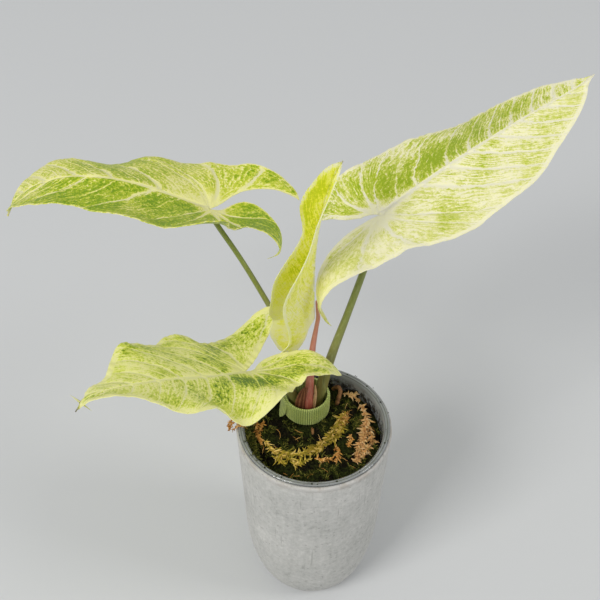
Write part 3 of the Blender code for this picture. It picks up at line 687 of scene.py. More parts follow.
# %% Green moss
CROWN_PLACE = (-4.0, 16.0)
MOSS_REACH = 33.4
TUFTS = 230


def spot_within(draw, most):
    """A random place in a circle round the pot's middle, mm."""
    turn, reach = draw.uniform(0, 2 * math.pi), most * math.sqrt(draw.random())
    return reach * math.cos(turn), reach * math.sin(turn)


def from_crown(x, y):
    return math.hypot(x - CROWN_PLACE[0], y - CROWN_PLACE[1])


def hold_in(x, y, most):
    """The place, drawn in where it lies further out than most."""
    shrink = min(1.0, most / max(1.0, math.hypot(x, y)))
    return x * shrink, y * shrink


draw = random.Random(29)
threads = []
for index in range(TUFTS):
    x, y = spot_within(draw, 33.0)
    if from_crown(x, y) < 13.5 or noise.noise((x * 0.11, y * 0.11, 2.0)) < -0.08:
        continue
    heading, long = draw.uniform(0, 2 * math.pi), draw.uniform(2.5, 6.0)
    route = [hold_in(x + s * long * math.cos(heading + 0.5 * s),
                     y + s * long * math.sin(heading + 0.5 * s), MOSS_REACH)
             for s in (0.0, 0.5, 1.0)]
    threads += leafy_sprig(draw, on_soil(route, 0.6), 1.9, 0.7, 0.25, 0.3)
thread_piece("moss_green_tufts", threads, green_moss)

# %% Loose fibres on the soil
FIBRE_REACH = 33.2
FIBRES = 48
draw = random.Random(71)
threads = []
for index in range(FIBRES):
    x, y = spot_within(draw, 32.0)
    if from_crown(x, y) < 13.0:
        continue
    heading, long, bow = draw.uniform(0, 6.28), draw.uniform(3.0, 8.0), draw.uniform(-0.9, 0.9)
    route = []
    for part in np.linspace(0, 1, 6):
        a, b = hold_in(x + long * (part - 0.5) * math.cos(heading + bow * part),
                       y + long * (part - 0.5) * math.sin(heading + bow * part), FIBRE_REACH)
        route.append((a, b, top_of_soil(a, b) + 0.25 + 0.9 * math.sin(math.pi * part)))
    wide = draw.uniform(0.07, 0.17)
    threads.append((route, [wide * 0.5, wide, wide, wide, wide, wide * 0.3], draw.random()))
thread_piece("soil_fibres", threads, orange_moss, sides=4)

# %% Wisps over the left rim
WISPS = (((-33.6, 3.0, 121.5), (-37.0, 3.2, 124.9), (-41.0, 2.6, 124.8), (-43.4, 1.2, 122.6)),
         ((-34.0, 0.6, 121.5), (-38.0, 0.4, 124.9), (-42.4, -1.0, 124.2), (-43.6, -3.0, 121.4)),
         ((-36.0, 1.8, 124.4), (-41.0, 1.9, 125.2), (-44.2, 0.4, 122.4), (-44.0, -1.4, 119.8)),
         ((-34.4, -2.4, 122.0), (-38.6, -2.8, 125.0), (-41.6, -4.4, 123.6)))
draw = random.Random(57)
threads = []
for route in WISPS:
    threads += leafy_sprig(draw, route, 1.7, 0.9, 0.35, 0.36)
thread_piece("rim_wisps", threads, orange_moss)

# %% Moss up the left wall
# radius and height of the route from the soil to the lip, mm
WALL_ROUTE = ((30.5, 118.2), (34.2, 119.8), (35.4, 122.8), (37.6, 124.8))
WALL_SPRIGS = 16
threads = []
for index in range(WALL_SPRIGS):
    turn, drift = draw.uniform(166, 204), draw.choice((-1, 1)) * draw.uniform(10, 24)
    top = draw.uniform(0.45, 1.0)
    low, foot = WALL_ROUTE[0]
    route = []
    for step, (reach, rise) in enumerate(WALL_ROUTE):
        angle = (turn + drift * step / 3) * DEG
        reach = low + (reach - low) * top ** 0.5
        route.append((reach * math.cos(angle), reach * math.sin(angle),
                      foot + (rise - foot) * top))
    threads += leafy_sprig(draw, route, 2.0, 0.7, 0.25, 0.30)
thread_piece("rim_tufts", threads, green_moss)

# %% [markdown]
# ## Crumbs
# Crumbs of mix lie on the soil, and a few dark ones have stuck to the plastic lip. One rough
# grain of 20 faces is copied with its own size and turn each time.

# %% Scatter crumbs
SOIL_CRUMBS = 900
LIP_GRIT = 60
LIP_TOP = 124.3
LIP_CRUMBS = ((-24.6, -28.4, 0.45), (-16.3, -34.2, 0.40), (-1.0, -38.1, 0.55), (1.6, -38.2, 0.35),
              (11.2, -36.3, 0.5), (22.6, -30.4, 0.35), (35.8, -12.0, 0.45), (34.6, 14.6, 0.40),
              (27.9, 25.4, 0.45), (17.6, 33.4, 0.35))


def grains(name, places, seed):
    """Many small rough grains as one mesh. places holds (x, y, z, radius) in mm."""
    draw = random.Random(seed)
    made = bmesh.new()
    for x, y, z, radius in places:
        size = radius * MM
        turn = Matrix.Rotation(draw.uniform(0, 6.28), 4, Vector((draw.uniform(-1, 1),
                                                                draw.uniform(-1, 1), 0.4)))
        scale = Matrix.Diagonal((size, size * draw.uniform(0.6, 1.0),
                                 size * draw.uniform(0.45, 0.8), 1))
        place = Matrix.Translation((x * MM, y * MM, z * MM)) @ turn @ scale
        fresh = bmesh.ops.create_icosphere(made, subdivisions=1, radius=1.0, matrix=place)
        for vert in fresh["verts"]:
            vert.co += Vector([draw.uniform(-0.22, 0.22) * size for _ in range(3)])
    mesh = bpy.data.meshes.new(name)
    made.to_mesh(mesh)
    made.free()
    wear(finish_piece(add_object(name, mesh), name, (), 50), earth)


draw = random.Random(41)
places = []
for index in range(SOIL_CRUMBS):
    x, y = spot_within(draw, 33.6)
    size = 0.25 + 0.9 * draw.random() ** 3
    places.append((x, y, top_of_soil(x, y) + size * 0.25, size))
grains("soil_crumbs", places, 43)
places = [(x, y, LIP_TOP + 0.05, size * 1.3) for x, y, size in LIP_CRUMBS]
for index in range(LIP_GRIT):
    turn = draw.uniform(0, 2 * math.pi)
    reach = draw.choice((36.9, 38.8, 39.3)) + draw.uniform(-0.3, 0.3)
    places.append((reach * math.cos(turn), reach * math.sin(turn), LIP_TOP,
                   0.14 + 0.32 * draw.random() ** 2))
grains("lip_crumbs", places, 47)

# %% [markdown]
# ## The leaves
# A syngonium leaf is flat when it grows and is then bent by its own weight and light. So each
# blade is drawn flat first, from its outline, and bent by a few angles: folded at the midrib,
# arched towards the tip, with lobes that lift and curl, and a wave in the margin. The same
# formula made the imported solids, so the fine blades here lie on them.

# %% Values of the four leaves
FRONT_STATIONS = (0.0, 0.18, 0.38, 0.58, 0.75, 0.88, 0.96)
LOBE_STATIONS = (0.25, 0.5, 0.75, 0.93)
SINUS_STATIONS = (0.12, 0.35, 0.7)
PLAIN_REACH = 0.55
# A leaf, and each of its halves. Places are in mm, angles in degrees, and widths are shares of
# half_width. root: where the stalk meets the blade; heading, pitch, roll: how the blade leaves it;
# turn, arch, tip_arch, twist: how that changes on the way to the tip; front: widths at
# FRONT_STATIONS.
LEAF_KEYS = ("root", "heading", "pitch", "roll", "turn", "arch", "tip_arch", "twist", "length",
              "half_width", "front")
# lobe, reach: length and width of the lobe; outer, sinus: widths of its two edges; fold: at the
# root, middle and tip; cup: bend across; swing, lift, span, curl, lobe_roll: how the lobe turns
# away; wave: height, length and phase of the wave in the margin.
HALF_KEYS = ("lobe", "reach", "outer", "sinus", "fold", "lobe_fold", "cup", "swing", "lift",
              "span", "curl", "lobe_roll", "wave")
LEAF_ROWS = {
    "leaf_right": (
        ((30.1, 55.2, 219.0), 24.5, 30.5, 2.0, 2.0, (-11.5, -11.5), 20.0, -2.0, 121.0, 36.5,
         (0.92, 1.08, 0.99, 0.88, 0.62, 0.39, 0.18)),
        (57.0, 0.44, (0.89, 0.86, 0.66, 0.56), (-0.05, -0.04, 0.2), (8.0, -17.0, -16.0), 5.0,
         -4.0, 23.0, -26.0, 0.6, 118.0, 10.0, (-0.6, 44.0, 0.43)),
        (36.0, 0.55, (0.93, 0.92, 0.86, 0.72), (0.1, 0.17, 0.39), (11.0, -20.0, -3.0), -9.0, 3.0,
         -26.0, -22.0, 0.6, 24.0, 10.0, (-2.0, 55.0, 0.0))),
    "leaf_left": (
        ((-53.6, 61.6, 215.6), 183.2, 28.0, -2.6, -2.4, (18.7, -119.7), 2.9, -9.5, 114.9, 37.0,
         (1.05, 1.1, 1.04, 0.7, 0.67, 0.35, 0.09)),
        (41.0, 0.6, (0.95, 0.93, 0.81, 0.67), (0.13, 0.39, 0.49), (14.0, -10.1, 25.7), 6.2, 18.9,
         -10.2, -35.1, 0.6, 68.6, 4.4, (2.8, 48.3, -0.36)),
        (49.4, 0.39, (0.76, 0.76, 0.66, 0.5), (-0.08, -0.34, 0.14), (12.7, -13.8, 14.0), 2.0,
         -37.9, -40.7, -90.3, 0.75, 220.1, 5.4, (1.6, 37.2, -0.97))),
    "leaf_young": (
        ((-0.5, 28.3, 173.1), 14.0, 93.0, -7.0, 9.0, (-5.0, -19.5), -10.0, -12.5, 99.0, 23.2,
         (0.89, 1.09, 0.96, 0.57, 0.64, 0.38, 0.19)),
        (24.0, 0.56, (0.93, 0.95, 0.88, 0.75), (0.22, 0.28, 0.4), (57.0, 53.0, 36.0), 7.0, -8.0,
         -7.0, -8.0, 0.6, -2.0, 7.0, (-1.8, 47.5, 0.04)),
        (25.5, 0.6, (0.94, 0.97, 0.88, 0.75), (0.16, 0.28, 0.4), (62.0, 84.0, 36.0), 2.0, -18.0,
         2.0, -6.0, 0.6, -1.0, -2.0, (-1.4, 44.0, -0.19))),
    "leaf_front": (
        ((-34.3, -4.0, 168.6), 226.0, 31.0, -13.0, -9.5, (26.5, -48.0), -71.0, -16.0, 105.0, 35.0,
         (0.91, 1.12, 0.95, 0.87, 0.46, 0.35, 0.16)),
        (41.5, 0.64, (0.92, 0.89, 0.85, 0.73), (0.06, 0.18, 0.39), (8.5, 19.0, -22.0), 9.0, 12.5,
         -10.0, -29.0, 0.6, 3.0, 10.0, (3.5, 53.0, 0.15)),
        (50.0, 0.6, (0.92, 0.91, 0.84, 0.7), (0.0, -0.12, 0.24), (13.5, -17.0, 16.0), -11.0, -1.0,
         -20.0, -66.0, 0.6, 126.0, 12.0, (4.9, 37.0, 0.78))),
}
LEAVES = {name: {**dict(zip(LEAF_KEYS, own)), "right": dict(zip(HALF_KEYS, right_half)),
                 "left": dict(zip(HALF_KEYS, left_half))}
          for name, (own, right_half, left_half) in LEAF_ROWS.items()}
print("leaves:", len(LEAVES))

# %% How a flat leaf is bent
def ease(share):
    """Smooth step from 0 to 1."""
    share = np.clip(share, 0, 1)
    return share * share * (3 - 2 * share)


def leaf_edges(along, leaf, half):
    """Inner and outer edge of one flat half, in mm from the midrib line, at places along it."""
    lobe = half["lobe"]
    spread = half["reach"] - PLAIN_REACH
    outer = [(-lobe, half["reach"])]
    for place, width in zip(LOBE_STATIONS[::-1], half["outer"][::-1]):
        outer.append((-place * lobe, width + spread * place ** 2))
    for place, width in zip(FRONT_STATIONS, leaf["front"]):
        outer.append((place * leaf["length"], width))
    outer.append((leaf["length"], 0.0))
    inner = [(0.0, 0.0)]
    for place, width in zip(SINUS_STATIONS, half["sinus"]):
        inner.append((place * lobe, width + spread * place ** 2))
    inner.append((lobe, half["reach"]))
    outer = smooth_line(outer, 240)
    inner = smooth_line(inner, 120)
    far = np.interp(along, np.maximum.accumulate(outer[:, 0]), outer[:, 1])
    near = np.interp(-along, np.maximum.accumulate(inner[:, 0]), inner[:, 1])
    near = np.where(along >= 0, 0.0, near)
    return near * leaf["half_width"], far * leaf["half_width"]


def leaf_spine(leaf, half, samples=60):
    """Points, side directions and up directions along the midrib and on behind it, where the
    line carries the lobe of this half."""
    length = leaf["length"]
    lobe = half["lobe"]
    along = np.concatenate([np.linspace(-lobe, 0, samples)[:-1], np.linspace(0, length, samples)])
    front = np.clip(along / length, 0, 1)
    back = np.clip(-along / lobe, 0, 1)
    heading = leaf["heading"] + leaf["turn"] * front + half["swing"] * back ** 1.5
    pitch = (leaf["pitch"] + leaf["arch"][0] * front + leaf["arch"][1] * front ** 2
             + leaf["tip_arch"] * np.clip((front - 0.85) / 0.15, 0, 1) ** 2
             + half["lift"] * ease(back / half["span"]) + half["curl"] * back ** 3)
    roll = leaf["roll"] + leaf["twist"] * front + half["lobe_roll"] * back ** 1.5
    h, p, r = heading * DEG, pitch * DEG, roll * DEG
    ahead = np.stack([np.cos(p) * np.cos(h), np.cos(p) * np.sin(h), np.sin(p)], 1)
    level = np.stack([np.sin(h), -np.cos(h), 0 * h], 1)
    above = np.cross(level, ahead)
    side = np.cos(r)[:, None] * level + np.sin(r)[:, None] * above
    up = -np.sin(r)[:, None] * level + np.cos(r)[:, None] * above
    steps = 0.5 * (ahead[1:] + ahead[:-1]) * np.diff(along)[:, None]
    points = np.vstack([[0, 0, 0], np.cumsum(steps, 0)])
    points = points - points[samples - 1] + np.array(leaf["root"])
    return along, points, side, up


print("edges and spine ready")

# %% Bend one half
def bend_leaf(across, along, leaf, name):
    """Places of flat points in space, mm. across is the distance out from the midrib line."""
    half = leaf[name]
    sign = 1.0 if name == "right" else -1.0
    line, points, side, up = leaf_spine(leaf, half)
    at = [np.stack([np.interp(along, line, table[:, k]) for k in range(3)], -1)
          for table in (points, side, up)]
    front = np.clip(along / leaf["length"], 0, 1)
    back = np.clip(-along / half["lobe"], 0, 1)
    root, middle, tip = half["fold"]
    fold = (root * (1 - front) * (1 - 2 * front) + 4 * middle * front * (1 - front)
            + tip * front * (2 * front - 1) + half["lobe_fold"] * back ** 1.5)
    bow = half["cup"] * DEG / leaf["half_width"]
    angle = fold * DEG - bow * across / 2
    chord = across * np.sinc(bow * across / (2 * np.pi))
    height, length, phase = half["wave"]
    ripple = (height * np.clip(across / leaf["half_width"], 0, 1.2) ** 2
              * np.sin(2 * np.pi * (along / length + phase)))
    out = chord * np.cos(angle)
    rise = chord * np.sin(angle) + ripple
    return at[0] + (sign * out)[..., None] * at[1] + rise[..., None] * at[2]


print("leaf formulas ready")

# %% [markdown]
# ## Veins
# The veins make the leaf. On each half, main veins leave the midrib at measured places and sweep
# towards the tip, and others fan out from the stalk into the lobe. Every vertex gets a vein
# number: it is whole on a main vein and counts up from vein to vein. A finish can then draw main
# and fine veins crisply, however coarse the mesh, because it reads that number and not a picture.

# %% Veins and patches
# for each half: lean and sweep of its veins, where main veins leave the midrib in mm, their
# angles into the lobe, and how cream the half is
VEINS = {
    ("leaf_right", "left"): (0.28, 0.33, (0, 24, 41, 54, 66, 78, 90, 102, 112),
                             (0, 20, 45, 62, 85), 0.35),
    ("leaf_right", "right"): (0.85, 0.40, (0, 25, 40, 54, 68, 82, 96, 108),
                              (0, 20, 45, 65, 80, 100), 0.70),
    ("leaf_left", "left"): (0.85, 0.25, (0, 29, 62, 82, 100, 112), (0, 25, 50, 65, 85), 0.12),
    ("leaf_left", "right"): (0.45, 0.45, (0, 26, 50, 68, 84, 98, 110), (0, 12, 40, 58, 68, 85),
                             0.40),
    ("leaf_young", "left"): (1.20, 0.60, (0, 20, 40, 60, 80), (0, 30, 55, 75), 0.46),
    ("leaf_young", "right"): (1.20, 0.60, (0, 20, 40, 60, 80), (0, 30, 55, 75), 0.62),
    ("leaf_front", "left"): (0.45, 0.45, (0, 15, 30, 45, 60, 75, 90), (0, 20, 45, 65, 80), 0.56),
    ("leaf_front", "right"): (0.45, 0.45, (0, 15, 30, 45, 60, 75, 90), (0, 20, 45, 65, 80), 0.60),
}
# Patches that are greener (below 0) or paler: along, across, their reach in mm, and how much
PATCHES = {
    ("leaf_right", "left"): ((30, 13, 34, 12, -0.36), (75, 10, 25, 8, -0.20),
                             (40, 34, 60, 7, 0.07)),
    # the second patch here is painted light: a little paler on the near lobe by the hub, where it
    # lies in shade
    ("leaf_right", "right"): ((62, 12, 42, 10, -0.16), (-22, 16, 16, 14, 0.03),
                              (40, 28, 50, 8, -0.04)),
    ("leaf_left", "left"): ((-24, 22, 18, 30, -0.22), (45, 14, 10, 7, 0.20),
                            (100, 4, 14, 20, 0.15)),
    ("leaf_left", "right"): ((-30, 30, 18, 14, -0.26), (6, 12, 18, 14, 0.26),
                             (-14, 10, 12, 8, 0.20),
                             (85, 12, 25, 12, 0.14), (45, 30, 20, 8, -0.15)),
    # the first patch here is painted light: paler inside the fold, where the right half shades the
    # left
    ("leaf_young", "left"): ((8, 16, 32, 18, 0.52), (50, 8, 20, 9, -0.22)),
    ("leaf_young", "right"): ((10, 10, 30, 20, 0.10),),
    ("leaf_front", "left"): ((7, 19, 11, 8, -0.44), (26, 10, 15, 6, -0.34),
                             (80, 10, 20, 12, 0.16), (-14, 20, 10, 9, -0.24),
                             (44, 26, 22, 9, 0.14)),
    ("leaf_front", "right"): ((14, 34, 13, 7, -0.42), (-16, 30, 14, 6, -0.30),
                              (45, 33, 14, 5, -0.26), (24, 12, 20, 6, -0.10),
                              (80, 20, 16, 12, 0.14)),
}
# drip: how far the tip runs on, mm; shift: where the last third moves, mm; ripple: height of
# the ripples in the margin, mm; relief: share of the full vein relief
DETAILS = {
    "leaf_right": dict(drip=4.5, shift=(0.5, 0.0, 3.2), ripple=0.50, relief=0.75),
    "leaf_left": dict(drip=1.5, ripple=0.45, relief=1.0),
    "leaf_young": dict(drip=1.0, ripple=0.2, relief=0.12),
    "leaf_front": dict(drip=2.0, ripple=0.6, relief=0.85),
}
# places where a margin is drawn in: centre and reach along, mm, and how far, mm
TRIMS = {("leaf_left", "left"): (-7.0, 6.5, 5.5), ("leaf_young", "left"): (62.0, 18.0, 3.6)}
print("halves with veins:", len(VEINS))

# %% Vein numbers
# where a last main vein would leave the midrib, as a share of the blade, and the last fans
PAST_TIP = 1.12
BACK_FANS = (112, 145, 180)


def fine_edges(name, half_name, along):
    """Inner and outer edge of a half, with the margin drawn in where that is known."""
    inner, outer = leaf_edges(along, LEAVES[name], LEAVES[name][half_name])
    centre, reach, amount = TRIMS.get((name, half_name), (0.0, 1.0, 0.0))
    drawn_in = amount * np.exp(-((along - centre) / reach) ** 2)
    return inner, np.maximum(outer - drawn_in, inner + 0.3 * (outer - inner))


def count_along(places, marks):
    """Running number of places between marks, and the span from mark to mark there."""
    number = np.interp(places, marks, np.arange(len(marks)))
    spans = np.diff(marks)
    return number, spans[np.clip(number.astype(int), 0, len(spans) - 1)]


def vein_numbers(across, along, leaf, lean, sweep, mains, fans):
    """Vein number, and mm from one main vein to the next, at flat places of one half."""
    wide = across / leaf["half_width"]
    swept = lean * across + leaf["half_width"] * sweep * wide ** 2.2
    slope = lean + 2.2 * sweep * wide ** 1.2
    steep = 1 + 0.9 * np.clip(along / leaf["length"], 0, 1) ** 2
    start = along - swept * steep
    slope = slope * steep
    mains = np.array((*mains, leaf["length"] * PAST_TIP), float)
    number, span = count_along(start, mains)
    turn = np.degrees(np.arctan2(-start, across + 1e-6))
    fan, fan_span = count_along(turn, np.array((*fans, *BACK_FANS), float))
    behind = start < 0
    return (np.where(behind, -fan, number),
            np.where(behind, fan_span * DEG * np.hypot(across, along),
                     span / np.sqrt(1 + slope ** 2)))


print("vein formulas ready")

# %% [markdown]
# ## Building a blade
# Each half starts as a grid. Its rows run from the lobe's end to the tip, and its columns from
# the midrib to the margin. The halves are joined at the midrib, thickened, and given relief: the
# veins sink into the upper face and stand out below, and the blade swells a little between them.

# %% Places on one half
# LOBE_SHARE: share of the rows in the lobe; RIPPLE_REACH: how far ripples run in from the margin;
# DRIP_REACH: how much of the tip is drawn out; LEVEL_FROM: the midrib stays level up to here, mm
ROWS = 190
COLUMNS = 46
LOBE_SHARE = 0.32
RIPPLE_REACH = 4.5
DRIP_REACH = 2.5
LEVEL_FROM = 2.5


def flat_places(name, half_name, mesh):
    """Places across and along, and distance from the own edges, of a half's grid, in mm."""
    leaf = LEAVES[name]
    lobe = leaf[half_name]["lobe"]
    places = np.array([v.co for v in mesh.vertices])
    out, row = places[:, 0] + 0.5, places[:, 1] + 0.5
    back = -lobe * np.clip(1 - row / LOBE_SHARE, 0, 1) ** 1.2
    share = np.clip((row - LOBE_SHARE) / (1 - LOBE_SHARE), 0, 1)
    along = np.where(row < LOBE_SHARE - 1e-6, back, leaf["length"] * (1 - (1 - share) ** 1.25))
    inner, outer = fine_edges(name, half_name, along)
    across = inner + (outer - inner) * out
    from_edge = np.where(along >= 0, outer - across, np.minimum(outer - across, across - inner))
    return across, along, from_edge


def bent_places(name, half_name, across, along, from_edge):
    """Places in space: bent, with the tip run on and ripples in the margin, mm."""
    leaf, detail = LEAVES[name], DETAILS[name]
    bent = bend_leaf(across, along, leaf, half_name)
    near_tip = np.clip((along - leaf["length"] + DRIP_REACH) / DRIP_REACH, 0, 1)
    spine = leaf_spine(leaf, leaf[half_name])[1]
    onward = (spine[-1] - spine[-2]) / np.linalg.norm(spine[-1] - spine[-2])
    bent += (near_tip ** 2 * detail["drip"])[:, None] * onward
    last_part = np.clip((along / leaf["length"] - 0.55) / 0.45, 0, 1) ** 2
    bent += last_part[:, None] * np.array(detail.get("shift", (0, 0, 0)))
    seed = 10.0 * list(LEAVES).index(name) + (5.0 if half_name == "left" else 0.0)
    wave = np.array([2.2 * noise.noise((a * 0.13, seed, 0)) + 0.9 * noise.noise((a * 0.42, seed, 3))
                     for a in along])
    wave *= np.exp(-(from_edge / RIPPLE_REACH) ** 2) * (across > LEVEL_FROM) * (1 - near_tip)
    bent[:, 2] += detail["ripple"] * wave
    return bent


print("grid of a half:", COLUMNS, "x", ROWS)

# %% Grid of one half
RIM_POINTS = 700


def margin_distance(name, half_name, across, along):
    """Distance in mm from flat places to the nearest point of the margin."""
    rim = kdtree.KDTree(2 * RIM_POINTS)
    rim_along = np.linspace(-LEAVES[name][half_name]["lobe"], LEAVES[name]["length"], RIM_POINTS)
    for index, (a, low, high) in enumerate(zip(rim_along, *fine_edges(name, half_name, rim_along))):
        rim.insert((high, a, 0), 2 * index)
        rim.insert((low if a < 0 else high, a, 0), 2 * index + 1)
    rim.balance()
    return [rim.find((x, y, 0))[2] for x, y in zip(across, along)]


def half_grid(name, half_name):
    """One half of a blade as a bent grid, with its flat map, vein map and other values."""
    item = add_grid(COLUMNS, ROWS)
    mesh = item.data
    *vein_shape, cream = VEINS[name, half_name]
    across, along, from_edge = flat_places(name, half_name, mesh)
    bent = bent_places(name, half_name, across, along, from_edge) * MM
    mesh.vertices.foreach_set("co", bent.ravel())
    number, gap = vein_numbers(np.maximum(across, 0.0), along, LEAVES[name], *vein_shape)
    pale = np.full(len(along), cream)
    # patches are paler or greener; two of them are painted light, paler where the blade lies in
    # shade
    for centre, off, long, broad, amount in PATCHES[name, half_name]:
        pale += amount * np.exp(-((along - centre) / long) ** 2 - ((across - off) / broad) ** 2)
    sign, first_number = (1.0, 20) if half_name == "right" else (-1.0, 60)
    corners = np.array([loop.vertex_index for loop in mesh.loops])
    reach = np.hypot(across, np.minimum(along, 0.0))
    for label, first, second in (("flat", sign * across, along),
                                 ("veins", number + first_number, reach)):
        layer = mesh.uv_layers.new(name=label)
        layer.data.foreach_set("uv", np.stack([first, second], 1)[corners].ravel() / 100)
    for label, values in (("margin", margin_distance(name, half_name, across, along)),
                          ("gap", gap), ("tip", LEAVES[name]["length"] - along), ("pale", pale)):
        layer = mesh.attributes.new(label, "FLOAT", "POINT")
        layer.data.foreach_set("value", np.array(values, np.float32))
    if half_name == "left":
        bpy.ops.object.mode_set(mode="EDIT")
        bpy.ops.mesh.select_all(action="SELECT")
        bpy.ops.mesh.flip_normals()
        bpy.ops.object.mode_set(mode="OBJECT")
    return item


print("points along a margin:", RIM_POINTS)

# %% Relief of a blade
def read_back(mesh):
    """Distance across, along and vein number of every vertex, from the two maps."""
    across, along, number = np.zeros((3, len(mesh.vertices)))
    flat, veins = mesh.uv_layers["flat"].data, mesh.uv_layers["veins"].data
    for loop in mesh.loops:
        across[loop.vertex_index] = abs(flat[loop.index].uv[0]) * 100
        along[loop.vertex_index] = flat[loop.index].uv[1] * 100
        number[loop.vertex_index] = veins[loop.index].uv[0] * 100
    return across, along, number


def add_relief(name, mesh, below):
    """Sink and raise the veins, the midrib and the fields between them."""
    count = len(mesh.vertices)
    places, gap, margin = np.empty(count * 3), np.empty(count), np.empty(count)
    mesh.vertices.foreach_get("co", places)
    mesh.attributes["gap"].data.foreach_get("value", gap)
    mesh.attributes["margin"].data.foreach_get("value", margin)
    normals = np.array([v.normal for v in mesh.vertices])
    across, along, number = read_back(mesh)
    under = np.array([any(g.group == below.index and g.weight > 0.5 for g in v.groups)
                      for v in mesh.vertices])
    off = np.abs(number - np.round(number)) * gap
    fade = np.clip(margin / 4.0, 0, 1)
    deep = DETAILS[name]["relief"]
    main = deep * np.exp(-(off / 0.9) ** 2) * np.clip(gap / 4.0, 0, 1) * fade
    taper = np.clip(1 - along / LEAVES[name]["length"], 0, 1)
    rib = np.exp(-(across / (0.6 + 0.9 * taper)) ** 2) * (along > 0)
    swell = deep * np.abs(np.sin(math.pi * number)) * np.clip(gap / 10, 0, 1) * fade
    rise = np.where(under, 0.35 * main + (0.25 + 0.75 * taper) * rib - 0.25 * swell,
                    0.30 * swell - 0.30 * main - 0.45 * rib)
    edge_round = 0.12 * np.clip(1 - margin / 0.8, 0, 1)
    moved = places.reshape(-1, 3) + normals * ((rise - edge_round) * MM)[:, None]
    mesh.vertices.foreach_set("co", moved.ravel())
    mesh.update()


print("relief formulas ready")

# %% Join the halves
BLADE = 0.5
HAIR = 0.00001


def build_blade(name):
    halves = [half_grid(name, "right"), half_grid(name, "left")]
    select_none()
    for item in halves:
        item.select_set(True)
    bpy.context.view_layer.objects.active = halves[0]
    bpy.ops.object.join()
    item = bpy.context.object
    weld(HAIR, False)
    below = item.vertex_groups.new(name="below")
    wall = thicken(item, BLADE)
    wall.use_even_offset = True
    wall.shell_vertex_group = "below"
    wall.material_offset = 1
    wall.material_offset_rim = 0
    bpy.ops.object.modifier_apply(modifier="thickness")
    add_relief(name, item.data, below)
    print(name, "vertices:", len(item.data.vertices))
    return item


blades = {name: build_blade(name) for name in LEAVES}

# %% Hooked end of the right leaf's near lobe
TAIL_POINTS = 18


def lobe_centre(name, half_name, from_end):
    """Middle of a lobe at a distance from its end, mm."""
    leaf = LEAVES[name]
    half = leaf[half_name]
    along = np.array([from_end - half["lobe"]])
    inner, outer = leaf_edges(along, leaf, half)
    return Vector(bend_leaf(0.5 * (inner + outer), along, leaf, half_name)[0])


end = lobe_centre("leaf_right", "right", 0.0)
tail = [lobe_centre("leaf_right", "right", step) for step in (8.0, 5.0, 2.5)]
tail += [end + Vector(step) for step in ((0.5, -0.1, -1.6), (1.8, -0.4, -4.2), (4.2, -0.7, -7.2))]
tail_radii = np.interp(np.linspace(0, 1, TAIL_POINTS), (0, 0.25, 0.5, 0.8, 1.0),
                       (0.2, 0.8, 1.0, 0.65, 0.06))
lobe_tail = bunch("leaf_right_tail", [(smooth_line(tail, TAIL_POINTS), tail_radii, 0.5)], 8)
finish_piece(lobe_tail, "leaf_right_tail", ())
skin = new_material("pale lobe end")
lines = clouds(stretched(object_place(), 900.0, 900.0, 120.0), 1.0, 3.0)
fill(Base_Color=ramp(lines, (0.35, (0.50, 0.52, 0.10)), (0.65, (0.80, 0.77, 0.34))),
     Roughness=0.5)
wear(lobe_tail, skin)

# %% [markdown]
# ## Leaf finish
# The leaf is variegated: green tissue breaks up into flecks that run along the veins, and cream
# veins, midrib and margin lie over it. One node group works out how green each point is. Each
# leaf then turns that value into its own colours. Light shines a little through the thin blade.

# %% Leaf pattern: places and veins
leaf_pattern, given, result = new_group(
    "leaf pattern", ("Flat", "Veins"),
    ("Gap", "Margin", "Pale", "Streak", "Net", "Seed", "Border", "Strength", "Width", "Contrast"),
    ("Green", "Vein", "Height"))
flat, gap, margin, pale, seed = (given[label] for label in ("Flat", "Gap", "Margin", "Pale",
                                                            "Seed"))
across = calc("ABSOLUTE", axis(flat, "X")) * 100.0
along = axis(flat, "Y") * 100.0
spot = vector("ADD", flat, node("CombineXYZ", {"Z": seed}))
broken = clouds(spot, 60.0, 3.0)
sway = (clouds(spot, 9.0, 2.0) - 0.5) * 0.34 + (broken - 0.5) * 0.10
number = axis(given["Veins"], "X") * 100.0 + sway
reach = axis(given["Veins"], "Y") * 100.0


def off_line(value, per=1.0):
    """Distance in mm to the nearest whole number of value times per."""
    scaled = value * per
    return calc("ABSOLUTE", scaled - calc("ROUND", scaled)) / per * gap


wide = (step_map(reach, 0.0, 34.0, 1.15, 0.18) * step_map(along, 32.0, 80.0, 1.0, 0.28)
        * given["Width"] * step_map(pale, 0.80, 0.50, 0.45, 1.0)
        * step_map(pale, 0.12, 0.32, 0.62, 1.0))
off_main = off_line(number)
main = step_map(off_main, wide + 0.45, wide * 0.35)
halo = (step_map(off_main, 2.6, 0.2) * step_map(reach, 20.0, 2.0, 0.0, 0.55)
        * step_map(pale, 0.75, 0.45))
half = (step_map(off_line(number + 0.5), 0.55, 0.12) * step_map(reach, 24.0, 6.0, 0.25, 0.75)
        * step_map(gap, 5.0, 11.0))
minor = (step_map(off_line(number + broken * 0.10, 7.0), 0.40, 0.08) * step_map(gap, 3.0, 9.0)
         * step_map(broken, 0.38, 0.60, 0.10, 0.70))
rib_wide = step_map(along, -5.0, 110.0, 1.25, 0.25)
rib = step_map(across, rib_wide + 0.55, rib_wide * 0.6) * step_map(along, -3.0, 1.0)
rib_halo = (step_map(across, 4.5, 0.5) * step_map(along, 100.0, 0.0, 0.05, 0.45)
            * step_map(along, -4.0, 1.0))
collar = step_map(calc("ABSOLUTE", margin - 3.0), 0.5, 0.1) * (broken * 0.8)
stir = vector("MULTIPLY", node("TexNoise", {"Vector": spot, "Scale": 40.0}, "Color"),
              (0.025, 0.025, 0.025))
net = (step_map(cells(vector("ADD", spot, stir), 46.0), 0.14, 0.02)
       * (given["Net"] * step_map(broken, 0.35, 0.62)))
vein = main
